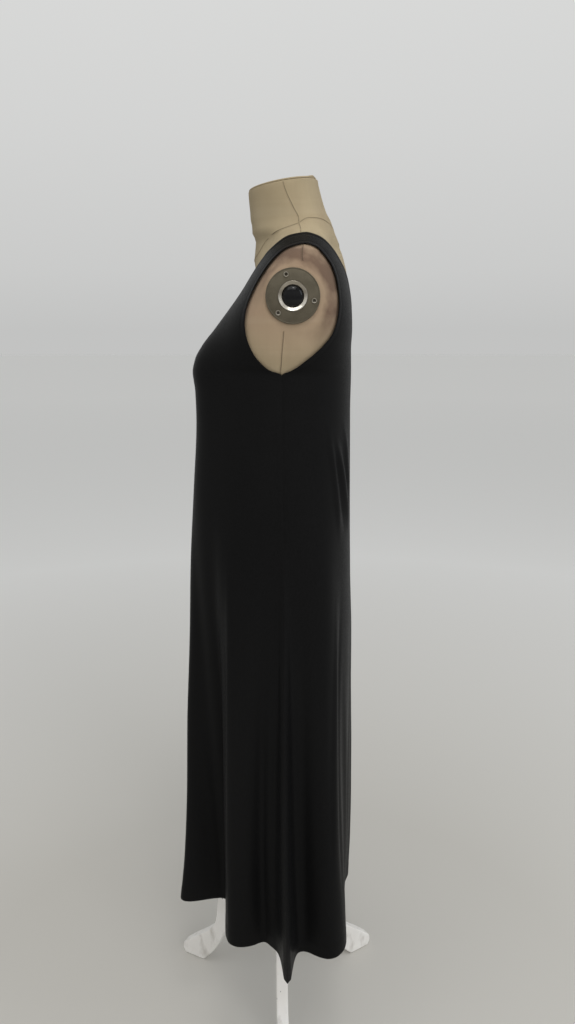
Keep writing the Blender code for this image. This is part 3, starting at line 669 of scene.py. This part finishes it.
def build_panel(name, node, edges, back, count, finish):
    """One panel of the dress as a thin shell of cloth."""
    rows = fine_rows(edges, back)
    neck_start = rows[-1]
    halves = []
    faces = []
    total = 0
    shared = 0
    centre = np.zeros(0, dtype=int)
    for side in (1, -1):
        sheets = half_panel(rows, column_shares(side, back, count), side)
        kept = np.ones(sheets[0].shape[:2], dtype=bool)
        kept[:shared, 0] = False
        halves.append([sheet[kept] for sheet in sheets])
        grid = np.zeros(kept.shape, dtype=int)
        grid[kept] = total + np.arange(kept.sum())
        grid[:shared, 0] = centre[:shared]
        quads = np.stack((grid[:-1, :-1], grid[:-1, 1:], grid[1:, 1:], grid[1:, :-1]), axis=-1)
        quads = quads.reshape(-1, 4)
        if (side == -1) != back:
            quads = quads[:, ::-1]
        faces += quads.tolist()
        total += int(kept.sum())
        shared = neck_start + 1
        centre = grid[:, 0]
    outer, inner, cloth, at_seam = (np.concatenate(pair) for pair in zip(*halves))
    points, walls, rim = closed_wall(outer, inner, (~at_seam).astype(float), faces)
    piece = mesh_piece(name, points, walls, finish, (node,), smooth=CLOTH_SHARP)
    add_cloth_map(piece, np.concatenate((cloth, cloth, cloth[rim])))
    return piece


def stacked_rings(rings):
    """Points and faces of a solid through rings, bottom to top, with flat ends."""
    sides = len(rings[0])
    points = np.concatenate(rings)
    faces = []
    for level in range(len(rings) - 1):
        for side in range(sides):
            after = (side + 1) % sides
            low = level * sides
            faces.append([low + side, low + after, low + sides + after, low + sides + side])
    top = (len(rings) - 1) * sides
    faces.append(list(range(sides))[::-1])
    faces.append([top + side for side in range(sides)])
    return points, faces


def neck_height(angles, share):
    """Heights on the way from the neck's level start to its slanted top."""
    front_y, front_z = NECK_TOP_FRONT
    top = np.full(angles.shape, front_z)
    for _ in range(LEVEL_PASSES):
        top = front_z + NECK_TOP_SLOPE * (form_surface(top, angles)[:, 1] - front_y)
    return NECK_START + share * (top - NECK_START)


def inset_ring(ring, inset):
    """A ring drawn in towards its middle, in plan."""
    middle = ring[:, :2].mean(axis=0)
    size = np.linalg.norm(ring[:, :2] - middle, axis=1, keepdims=True)
    moved = ring.copy()
    moved[:, :2] = middle + (ring[:, :2] - middle) * (1.0 - inset / size)
    return moved


def form_angles():
    """Angles of the form's columns, from -180 to 180."""
    return (np.arange(FORM_SIDES) * 360.0 / FORM_SIDES + 180.0) % 360.0 - 180.0


def build_body(finish):
    """The linen-covered body with its neck."""
    angles = form_angles()
    rings = [inset_ring(form_surface(np.full(angles.shape, FORM_LOW), angles), FORM_EDGE)]
    for level in np.linspace(FORM_LOW + FORM_EDGE, NECK_START, FORM_LEVELS):
        rings.append(form_surface(np.full(angles.shape, level), angles))
    for share in np.linspace(0.0, 1.0, NECK_LEVELS + 1)[1:]:
        rings.append(form_surface(neck_height(angles, share), angles))
    rings[-1] = inset_ring(rings[-1], NECK_EDGE_INSET)
    rings[-2][:, 2] = rings[-1][:, 2] - NECK_EDGE_DROP
    points, faces = stacked_rings(rings)
    body = mesh_piece("form_body", points, faces, finish, ("form_torso",))
    turn = np.arctan2(points[:, 0], -points[:, 1])
    add_cloth_map(body, np.stack((turn * FORM_CLOTH_RADIUS, points[:, 2]), axis=-1))


def build_cap(finish):
    """The cap on the slanted neck, with a small tip at its back corner."""
    angles = form_angles()
    top = form_surface(neck_height(angles, 1.0), angles)
    at, spread, rise = CAP_TIP
    tip = rise * np.exp(-((angles - at) / spread) ** 2)
    rings = []
    for inset, lift in CAP_PROFILE:
        ring = inset_ring(top, inset)
        share = max(0.0, 1.0 - inset / CAP_TIP_REACH) if lift > GAP else 0.0
        ring[:, 2] += lift + tip * share
        rings.append(ring)
    points, faces = stacked_rings(rings)
    cap = mesh_piece("form_cap", points, faces, finish, ("form_neck_cap",))
    add_cloth_map(cap, points[:, :2])


def spline(knots, count):
    """Points on a smooth curve through knots, a few a stretch, up to the last knot."""
    padded = np.concatenate((2 * knots[:1] - knots[1:2], knots, 2 * knots[-1:] - knots[-2:-1]))
    t = np.arange(count)[:, None] / count
    stretches = []
    for a, b, c, d in zip(padded[:-3], padded[1:-2], padded[2:-1], padded[3:]):
        stretches.append(0.5 * (2 * b + (c - a) * t + (2 * a - 5 * b + 4 * c - d) * t ** 2
                                + (3 * b - 3 * c + d - a) * t ** 3))
    return np.concatenate(stretches)


def smooth_path(knots):
    """Heights and angles on a smooth curve through a seam's points, evenly spaced."""
    knots = np.array(knots)
    fine = np.concatenate((spline(knots, ROUTE_STEPS), knots[-1:]))
    points = form_surface(fine[:, 1], fine[:, 0])
    length = np.concatenate(([0.0], np.cumsum(np.linalg.norm(np.diff(points, axis=0), axis=1))))
    even = np.linspace(0.0, length[-1], max(3, int(length[-1] / WELT_STEP)))
    return np.interp(even, length, fine[:, 1]), np.interp(even, length, fine[:, 0])


def build_seams(finish):
    """Sewn seams of the linen cover, as low double welts with a dip between."""
    mirrored = [[(-angle, z) for angle, z in knots] for knots in SIDE_SEAMS]
    ring = NECK_RING + tuple((360.0 - angle, z) for angle, z in NECK_RING[-2::-1])
    points = []
    faces = []
    cloth = []
    for knots in list(SIDE_SEAMS) + mirrored + [ring, BACK_SEAM]:
        heights, angles = smooth_path(knots)
        angles = (angles + 180.0) % 360.0 - 180.0
        point, outward = surface_frame(form_surface, heights, angles)
        across = unit(np.cross(unit(np.gradient(point, axis=0)), outward))
        start = sum(len(row) for row in points)
        for place, up, sideways in zip(point, outward, across):
            points.append([place + sideways * wide + up * lift for wide, lift in WELT])
            cloth.append([(place[2] + place[1], wide) for wide, _ in WELT])
        for row in range(len(point) - 1):
            low = start + row * len(WELT)
            for column in range(len(WELT) - 1):
                faces.append([low + column, low + column + 1,
                              low + len(WELT) + column + 1, low + len(WELT) + column])
    points = np.concatenate([np.array(row) for row in points])
    seams = mesh_piece("form_seams", points, faces, finish)
    add_cloth_map(seams, np.concatenate([np.array(row) for row in cloth]))


def turned(profile, sides, radius_at=None):
    """Rings of a profile turned about Z, a ring a point, with a radius worked out where asked."""
    turn = np.arange(sides) * 2.0 * math.pi / sides
    rings = []
    for out, radius in profile:
        reach = np.full(sides, radius) if radius_at is None else radius_at(out, radius, turn)
        rings.append(np.stack(
            (reach * np.cos(turn), reach * np.sin(turn), np.full(sides, out)), axis=-1))
    return rings


def outward_matrix(side, place):
    """Turns a shape made about Z so that it points out of the arm on one side."""
    return Matrix.Translation(place) @ Matrix.Rotation(side * math.radians(90.0), 4, "Y")


def place_points(points, matrix):
    """Points after a matrix."""
    return np.array([matrix @ Vector(point) for point in points])


def ring_faces(levels, sides, loop):
    """Faces between rings, and round from the last to the first in a closed loop."""
    faces = []
    for level in range(levels if loop else levels - 1):
        low = level * sides
        high = ((level + 1) % levels) * sides
        for side in range(sides):
            after = (side + 1) % sides
            faces.append([low + after, low + side, high + side, high + after])
    return faces


def arm_piece(name, node, rings, matrix, finish, loop=False, ends=(), smooth=PIECE_SHARP):
    """A piece of turned rings at an arm, as a closed loop or with the flat ends it has."""
    sides = len(rings[0])
    points = place_points(np.concatenate(rings), matrix)
    faces = ring_faces(len(rings), sides, loop)
    if "low" in ends:
        faces.append(list(range(sides)))
    if "high" in ends:
        faces.append([len(points) - 1 - corner for corner in range(sides)])
    return mesh_piece(name, points, faces, finish, (node,), smooth)


def build_arms(finishes):
    """At each arm a plate, a cup, a ball and screws, finer than their solids."""
    turn = np.linspace(0.0, 0.5 * math.pi, DOME_STEPS + 1)[:-1]
    dome = [(CUP_SEAT + DOME_HEIGHT * math.sin(t), DOME_RADIUS * math.cos(t)) for t in turn]
    for label, side in (("left", 1.0), ("right", -1.0)):
        low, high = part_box("arm_plate_" + label)
        middle = 0.5 * (low + high)
        face = ARM_FACE_X + GAP
        spot = Vector((side * face, middle.y, middle.z))
        arm_piece("plate_" + label, "arm_plate_" + label, turned(PLATE_PROFILE, PLATE_SIDES),
                  outward_matrix(side, spot), finishes["plate"], loop=True)
        seat = outward_matrix(side, spot + Vector((side * PLATE_THICK, 0.0, 0.0)))
        arm_piece("cup_" + label, "socket_ring_" + label, turned(CUP_PROFILE, PLATE_SIDES),
                  seat, finishes["chrome"], smooth=SOFT_ANGLE)
        arm_piece("ball_" + label, "socket_ball_" + label, turned(dome, DOME_SIDES),
                  seat, finishes["gloss"], ends=("low", "high"), smooth=SOFT_ANGLE)
        for number in (1, 2, 3):
            node = "plate_screw_" + label + "_" + str(number)
            low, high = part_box(node)
            base = Vector((side * (face + PLATE_THICK), 0.5 * (low.y + high.y), 0.5 * (low.z + high.z)))
            rings = turned(SCREW_PROFILE, SCREW_SIDES, hex_recess)
            screw = arm_piece("screw_" + label + "_" + str(number), node, rings,
                              outward_matrix(side, base), finishes["screw"], ends=("high",))
            # The recess's floor takes a near-black finish: painted shade in the hex hole
            screw.data.materials.append(finishes["recess"])
            screw.data.polygons[-1].material_index = 1


def hex_recess(out, radius, turn):
    """Radius of a screw head's ring: round outside, six-sided in the recess."""
    if radius > SCREW_HEX:
        return np.full(turn.shape, radius)
    sixth = math.pi / 3.0
    return radius * math.cos(0.5 * sixth) / np.cos(turn % sixth - 0.5 * sixth)


def smooth_outline(outline, corners):
    """A closed outline with smooth runs between its corners, and straight ones of two points."""
    runs = []
    for start, stop in zip(corners, corners[1:]):
        run = np.array(outline[start:stop + 1])
        runs.append(spline(run, LEG_STEPS if len(run) > 2 else 1))
    return np.concatenate(runs + [np.array(outline[corners[-1]:corners[-1] + 1])])


def bevel(piece):
    """Round a piece's sharp edges."""
    modifier = piece.modifiers.new("edges", "BEVEL")
    modifier.width = LEG_BEVEL
    modifier.segments = BEVEL_SEGMENTS
    modifier.limit_method = "ANGLE"
    modifier.angle_limit = math.radians(SHARP_ANGLE)
    modifier.harden_normals = True


def build_stand(finish):
    """Collar, column, hub and cast legs, each over its solid."""
    for node, sides, width in ROUND_PIECES:
        low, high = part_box(node)
        radius = 0.5 * (high.x - low.x)
        cut = EDGE_SHARE * width
        profile = (
            (low.z, radius - width), (low.z + cut, radius - cut), (low.z + width, radius),
            (high.z - width, radius), (high.z - cut, radius - cut), (high.z, radius - width),
        )
        points, faces = stacked_rings(turned(profile, sides))
        mesh_piece(node + "_round", points, faces, finish, (node,))
    outline = smooth_outline(LEG_OUTLINE, LEG_CORNERS)
    for number, degrees in enumerate(LEG_ANGLES, start=1):
        turn = math.radians(degrees)
        along = Vector((math.cos(turn), math.sin(turn), 0.0))
        across = Vector((-math.sin(turn), math.cos(turn), 0.0))
        points = []
        for shift in (-0.5 * LEG_WIDTH, 0.5 * LEG_WIDTH):
            points += [along * out + across * shift + Vector((0.0, 0.0, up)) for out, up in outline]
        count = len(outline)
        faces = [list(range(count)), list(range(2 * count - 1, count - 1, -1))]
        for corner in range(count):
            after = (corner + 1) % count
            faces.append([after, corner, corner + count, after + count])
        leg = mesh_piece("leg_" + str(number), points, faces, finish,
                         ("stand_leg_" + str(number),))
        bevel(leg)


class Finish:
    """A Principled material whose colour, roughness and relief come from nodes."""

    def __init__(self, name, **fixed):
        self.material = bpy.data.materials.new(name)
        self.material.use_nodes = True
        self.tree = self.material.node_tree
        self.shader = self.tree.nodes["Principled BSDF"]
        self.put(self.shader, **fixed)
        self.place = self.node("TexCoord", out="Object")

    def put(self, node, **values):
        """Set or link a node's sockets, named with _ for a space."""
        for key, value in values.items():
            self.feed(node.inputs[key.replace("_", " ")], value)

    def feed(self, socket, value):
        """Link a socket to another node's output, or set its value."""
        if isinstance(value, bpy.types.NodeSocket):
            self.tree.links.new(value, socket)
        else:
            socket.default_value = value

    def node(self, kind, out=0, settings=(), **values):
        """Add a node and return one of its outputs."""
        node = self.tree.nodes.new("ShaderNode" + kind)
        for key, value in settings:
            setattr(node, key, value)
        self.put(node, **values)
        return node.outputs[out]

    def math(self, operation, first, second=0.0):
        """A Math node on two values."""
        node = self.tree.nodes.new("ShaderNodeMath")
        node.operation = operation
        for socket, value in zip(node.inputs, (first, second)):
            self.feed(socket, value)
        return node.outputs[0]

    def add(self, first, second):
        """Two values added."""
        return self.math("ADD", first, second)

    def times(self, first, second):
        """Two values multiplied."""
        return self.math("MULTIPLY", first, second)

    def noise(self, scale, detail=2.0, stretch=None):
        """Noise from 0 to 1 on the object, stretched along an axis where asked."""
        source = self.place
        if stretch is not None:
            source = self.node("Mapping", Vector=source, Scale=stretch)
        return self.node("TexNoise", Vector=source, Scale=scale, Detail=detail)

    def between(self, value, low, high, at_low=0.0, at_high=1.0):
        """A value's place between two limits, kept between the results' limits."""
        node = self.tree.nodes.new("ShaderNodeMapRange")
        self.tree.links.new(value, node.inputs["Value"])
        limits = {"From Min": low, "From Max": high, "To Min": at_low, "To Max": at_high}
        for key, number in limits.items():
            node.inputs[key].default_value = number
        return node.outputs[0]

    def mix(self, factor, first, second):
        """Two colours mixed by a factor."""
        node = self.tree.nodes.new("ShaderNodeMix")
        node.data_type = "RGBA"
        for index, value in ((0, factor), (6, first), (7, second)):
            self.feed(node.inputs[index], value)
        return node.outputs[2]

    def finish(self, colour, roughness=None, height=None, depth=0.0003, strength=0.5):
        """Link the results to the shader and return the material."""
        self.put(self.shader, Base_Color=colour)
        if roughness is not None:
            self.put(self.shader, Roughness=roughness)
        if height is not None:
            self.put(self.shader, Normal=self.node(
                "Bump", Height=height, Distance=depth, Strength=strength))
        return self.material


def colour(red, green, blue):
    """A colour with full cover."""
    return (red, green, blue, 1.0)


def cloth_axes(finish):
    """Places across and up on the cloth's map, in metres."""
    map_place = finish.node("UVMap", settings=(("uv_map", "cloth"),))
    axes = finish.node("SeparateXYZ", Vector=map_place).node
    return axes.outputs[0], axes.outputs[1]


def cloth_waves(finish, across, up):
    """Two crossing waves of the cloth's threads, at the given spacings in metres."""
    axes = cloth_axes(finish)
    waves = []
    for axis, spacing in zip(axes, (across, up)):
        waves.append(finish.math("SINE", finish.times(axis, 2.0 * math.pi / spacing)))
    return waves


def jersey_finish():
    """Black jersey: fine wales, a soft uneven dye and a faint sheen."""
    finish = Finish("jersey_black", Metallic=0.0, Sheen_Weight=0.004, Sheen_Roughness=0.35,
                    Specular_IOR_Level=0.050)
    finish.put(finish.shader, Sheen_Tint=colour(0.80, 0.86, 1.0))
    wales, courses = cloth_waves(finish, *JERSEY_THREADS)
    broad = finish.noise(5.0, 3.0, stretch=(1.0, 1.0, 0.35))
    fine = finish.noise(420.0, 2.0)
    dye = finish.between(broad, 0.35, 0.65)
    tone = finish.mix(dye, colour(0.0042, 0.0042, 0.0043), colour(0.0056, 0.0056, 0.0057))
    thread = finish.between(fine, 0.35, 0.7, 0.0, 0.5)
    tone = finish.mix(thread, tone, colour(0.0078, 0.0077, 0.0080))
    roughness = finish.between(fine, 0.3, 0.7, 0.40, 0.54)
    height = finish.add(finish.times(wales, 0.35), finish.times(courses, 0.2))
    height = finish.add(height, finish.times(fine, 0.9))
    return finish.finish(tone, roughness, height, 0.00012, 0.35)


def woven_linen(name):
    """Beige linen with slubs, worn pink-brown, with a dark ring round the arm plates that is part soil
    and part painted shade of the hollow round each plate.

    Returns the finish so far, its colour, its broad noise and its relief.
    """
    finish = Finish(name, Metallic=0.0, Sheen_Weight=0.03, Specular_IOR_Level=0.15)
    warp, weft = cloth_waves(finish, *LINEN_THREADS)
    slub_up = finish.noise(38.0, 3.0, stretch=(1.0, 1.0, 0.06))
    slub_across = finish.noise(34.0, 3.0, stretch=(0.08, 0.08, 1.0))
    broad = finish.noise(9.0, 4.0)
    dye = finish.between(broad, 0.32, 0.68)
    tone = finish.mix(dye, colour(0.335, 0.268, 0.168), colour(0.395, 0.325, 0.212))
    axes = finish.node("SeparateXYZ", Vector=finish.place).node
    y = finish.math("SUBTRACT", axes.outputs[1], ARM_CENTRE[0])
    z = finish.math("SUBTRACT", axes.outputs[2], ARM_CENTRE[1])
    away = finish.math("SQRT", finish.add(finish.times(y, y), finish.times(z, z)))
    away = finish.add(away, finish.between(finish.noise(22.0, 3.0), 0.3, 0.7, -0.007, 0.007))
    outside = finish.between(finish.math("ABSOLUTE", axes.outputs[0]), *ARM_OUTSIDE)
    near = finish.times(finish.between(away, *TINT_REACH), outside)
    pink = finish.times(near, finish.between(z, *TINT_HEIGHT, 0.30, 0.95))
    tone = finish.mix(pink, tone, colour(0.340, 0.243, 0.165))
    dark = finish.between(slub_up, 0.45, 0.72, 0.0, 0.35)
    tone = finish.mix(dark, tone, colour(0.25, 0.195, 0.125))
    light = finish.between(slub_across, 0.48, 0.74, 0.0, 0.30)
    tone = finish.mix(light, tone, colour(0.50, 0.42, 0.30))
    # Dark ring round each arm plate, stronger higher up: part soil, part painted shade of the hollow
    # round the plate
    ring = finish.times(finish.between(away, *SOIL_SHADE_INNER), finish.between(away, *SOIL_SHADE_OUTER))
    high = finish.between(finish.add(z, finish.times(y, 0.7)), *SOIL_SHADE_HEIGHT, 0.08, 1.0)
    soil_shade_patches = finish.between(finish.noise(30.0, 5.0), 0.20, 0.52, 0.15, 1.0)
    soil_and_shade = finish.times(finish.times(ring, high), finish.times(soil_shade_patches, outside))
    tone = finish.mix(finish.times(soil_and_shade, 0.78), tone, colour(0.095, 0.056, 0.040))
    slubs = finish.times(finish.add(slub_up, slub_across), 2.0)
    height = finish.add(finish.times(warp, weft), slubs)
    return finish, tone, broad, height


def linen_finish():
    """The linen cover."""
    finish, tone, broad, height = woven_linen("linen_cover")
    return finish.finish(tone, finish.between(broad, 0.3, 0.7, 0.82, 0.94), height, 0.00022, 0.6)


def seam_finish():
    """The linen along its seams, with a dark line down the middle: painted shade of the stitched
    groove.
    """
    finish, tone, broad, height = woven_linen("linen_seam")
    along, across = cloth_axes(finish)
    # Painted shade: a dark line down the welt's middle, where the stitched groove dips
    line = finish.between(finish.math("ABSOLUTE", across), 0.0011, 0.0003, 0.0, 0.65)
    tone = finish.mix(line, tone, colour(0.085, 0.064, 0.040))
    stitch = finish.math("SINE", finish.times(along, 2.0 * math.pi / STITCH_LENGTH))
    height = finish.add(height, stitch)
    return finish.finish(tone, finish.between(broad, 0.3, 0.7, 0.82, 0.94), height, 0.00022, 0.6)


def plate_finish():
    """Dull grey-brown metal with fine turning marks and rubbed patches."""
    finish = Finish("plate_dull_metal", Metallic=0.55, Specular_IOR_Level=0.3)
    broad = finish.noise(60.0, 4.0)
    fine = finish.noise(900.0, 2.0)
    rubbed = finish.between(broad, 0.35, 0.65)
    tone = finish.mix(rubbed, colour(0.088, 0.075, 0.052), colour(0.120, 0.104, 0.074))
    tone = finish.mix(finish.between(fine, 0.55, 0.75, 0.0, 0.35), tone, colour(0.20, 0.18, 0.14))
    return finish.finish(tone, finish.between(broad, 0.3, 0.7, 0.50, 0.66), fine, 0.00008, 0.3)


def chrome_finish(name, bright, dull, top_shade=0.0):
    """Bright metal with a few finger marks, from its brightest tone and least roughness.

    The top shade is the share of dull brown painted over its upper half, painted shade standing in for
    the darker reflection there.
    """
    finish = Finish(name, Metallic=1.0)
    marks = finish.noise(140.0, 4.0)
    red, green, blue = bright
    rubbed = colour(0.8 * red, 0.78 * green, 0.74 * blue)
    tone = finish.mix(finish.between(marks, 0.4, 0.7), colour(red, green, blue), rubbed)
    if top_shade > 0.0:
        # Painted shade: the upper half turns dull brown, standing in for the darker reflection it shows
        up = finish.node("SeparateXYZ", out="Z", Vector=finish.place)
        low, high = (ARM_CENTRE[1] + shift for shift in TOP_SHADE_HEIGHT)
        brown = finish.between(up, low, high, 0.0, top_shade)
        tone = finish.mix(brown, tone, colour(0.22 * red, 0.19 * green, 0.15 * blue))
    roughness = finish.between(marks, 0.35, 0.7, dull, dull + 0.12)
    return finish.finish(tone, roughness, marks, 0.00003, 0.15)


def gloss_finish():
    """Glossy black with faint dust."""
    finish = Finish("gloss_black_ball", Metallic=0.0, Specular_IOR_Level=0.22)
    dust = finish.noise(700.0, 3.0)
    specks = finish.between(dust, 0.60, 0.72)
    tone = finish.mix(specks, colour(0.003, 0.003, 0.0035), colour(0.014, 0.013, 0.012))
    return finish.finish(tone, finish.between(dust, 0.5, 0.75, 0.07, 0.20), dust, 0.00002, 0.1)


def paint_finish():
    """White paint on a casting: slight orange peel, grime, chips and scuffs."""
    finish = Finish("white_worn_paint", Specular_IOR_Level=0.45)
    broad = finish.noise(14.0, 4.0)
    grime = finish.noise(55.0, 5.0, stretch=(1.0, 1.0, 0.45))
    chips = finish.noise(85.0, 3.0, stretch=(1.0, 1.0, 0.40))
    peel = finish.noise(600.0, 2.0)
    cover = finish.between(broad, 0.35, 0.65)
    tone = finish.mix(cover, colour(0.78, 0.76, 0.73), colour(0.85, 0.835, 0.81))
    tone = finish.mix(finish.between(grime, 0.54, 0.74, 0.0, 0.50), tone, colour(0.36, 0.33, 0.29))
    chipped = finish.between(chips, 0.690, 0.705)
    tone = finish.mix(chipped, tone, colour(0.060, 0.055, 0.052))
    height = finish.math("SUBTRACT", finish.times(peel, 0.5), chipped)
    roughness = finish.between(grime, 0.4, 0.75, 0.42, 0.66)
    return finish.finish(tone, roughness, height, 0.00015, 0.5)


def floor_finish():
    """Plain pale floor, lighter far away: painted light that makes up for the lamps' falloff so that it
    runs into the backdrop.
    """
    finish = Finish("pale_floor", Specular_IOR_Level=0.2)
    length = (("operation", "LENGTH"),)
    far = finish.node("VectorMath", out="Value", settings=length, Vector=finish.place)
    broad = finish.noise(0.7, 2.0)
    near_tone = finish.mix(broad, colour(0.55, 0.535, 0.500), colour(0.58, 0.565, 0.530))
    # Painted light: the floor turns lighter with distance, where the lamps no longer reach
    tone = finish.mix(finish.between(far, *FLOOR_NEAR), near_tone, colour(0.90, 0.90, 0.89))
    tone = finish.mix(finish.between(far, *FLOOR_FAR), tone, colour(0.98, 0.98, 0.97))
    return finish.finish(tone, finish.between(broad, 0.0, 1.0, 0.85, 0.9))


def area_light(name, place, target, size, power, tint, in_shine):
    """A soft square light aimed at a point."""
    data = bpy.data.lights.new(name, "AREA")
    data.size = size
    data.energy = power
    data.color = tint
    light = bpy.data.objects.new(name, data)
    light.location = place
    light.rotation_euler = (Vector(target) - Vector(place)).to_track_quat("-Z", "Y").to_euler()
    light.visible_glossy = in_shine
    bpy.context.scene.collection.objects.link(light)


def build_studio():
    """Floor, soft lights, pale surroundings and the photo's camera."""
    bpy.ops.mesh.primitive_plane_add(size=FLOOR_SIZE, location=(0.0, 0.0, -FLOOR_DROP))
    floor = bpy.context.object
    floor.name = "floor"
    floor.data.materials.append(floor_finish())
    world = bpy.data.worlds.new("studio")
    world.use_nodes = True
    tree = world.node_tree
    place = tree.nodes.new("ShaderNodeTexCoord")
    axes = tree.nodes.new("ShaderNodeSeparateXYZ")
    tree.links.new(place.outputs["Generated"], axes.inputs[0])
    ramp = tree.nodes.new("ShaderNodeValToRGB")
    stops = ramp.color_ramp.elements
    while len(stops) < len(WORLD_TONES):
        stops.new(0.5)
    for stop, (up, tone) in zip(stops, WORLD_TONES):
        stop.position = up
        stop.color = colour(*(share * tone for share in WORLD_TINT))
    tree.links.new(axes.outputs[2], ramp.inputs[0])
    tree.links.new(ramp.outputs[0], tree.nodes["Background"].inputs["Color"])
    bpy.context.scene.world = world
    bpy.context.scene.view_settings.view_transform = "Standard"
    for light in LIGHTS:
        area_light(*light)
    data = bpy.data.cameras.new("camera")
    data.lens = LENS_MM
    data.sensor_width = SENSOR_MM
    camera = bpy.data.objects.new("camera", data)
    camera.location = CAMERA_PLACE
    camera.rotation_euler = (math.radians(CAMERA_TILT), 0.0, math.radians(CAMERA_TURN))
    bpy.context.scene.collection.objects.link(camera)
    bpy.context.scene.camera = camera


def main():
    """Dress, form, arms, stand and studio."""
    jersey = jersey_finish()
    front = build_panel("front_cloth", "dress_front", FRONT_EDGES, False, FRONT_FINE, jersey)
    back = build_panel("back_cloth", "dress_back", BACK_EDGES, True, BACK_FINE, jersey)
    linen = linen_finish()
    build_body(linen)
    build_cap(linen)
    build_seams(seam_finish())
    build_arms({
        "plate": plate_finish(),
        # The cup's last number is the painted shade over its upper half
        "chrome": chrome_finish("bright_cup", (0.80, 0.76, 0.68), 0.18, 0.75),
        "screw": chrome_finish("dull_screw", (0.46, 0.43, 0.37), 0.30),
        # Near-black metal for the floor of each screw's hex hole: painted shade
        "recess": chrome_finish("screw_recess_shade", (0.07, 0.062, 0.05), 0.45),
        "gloss": gloss_finish(),
    })
    build_stand(paint_finish())
    build_studio()


main()
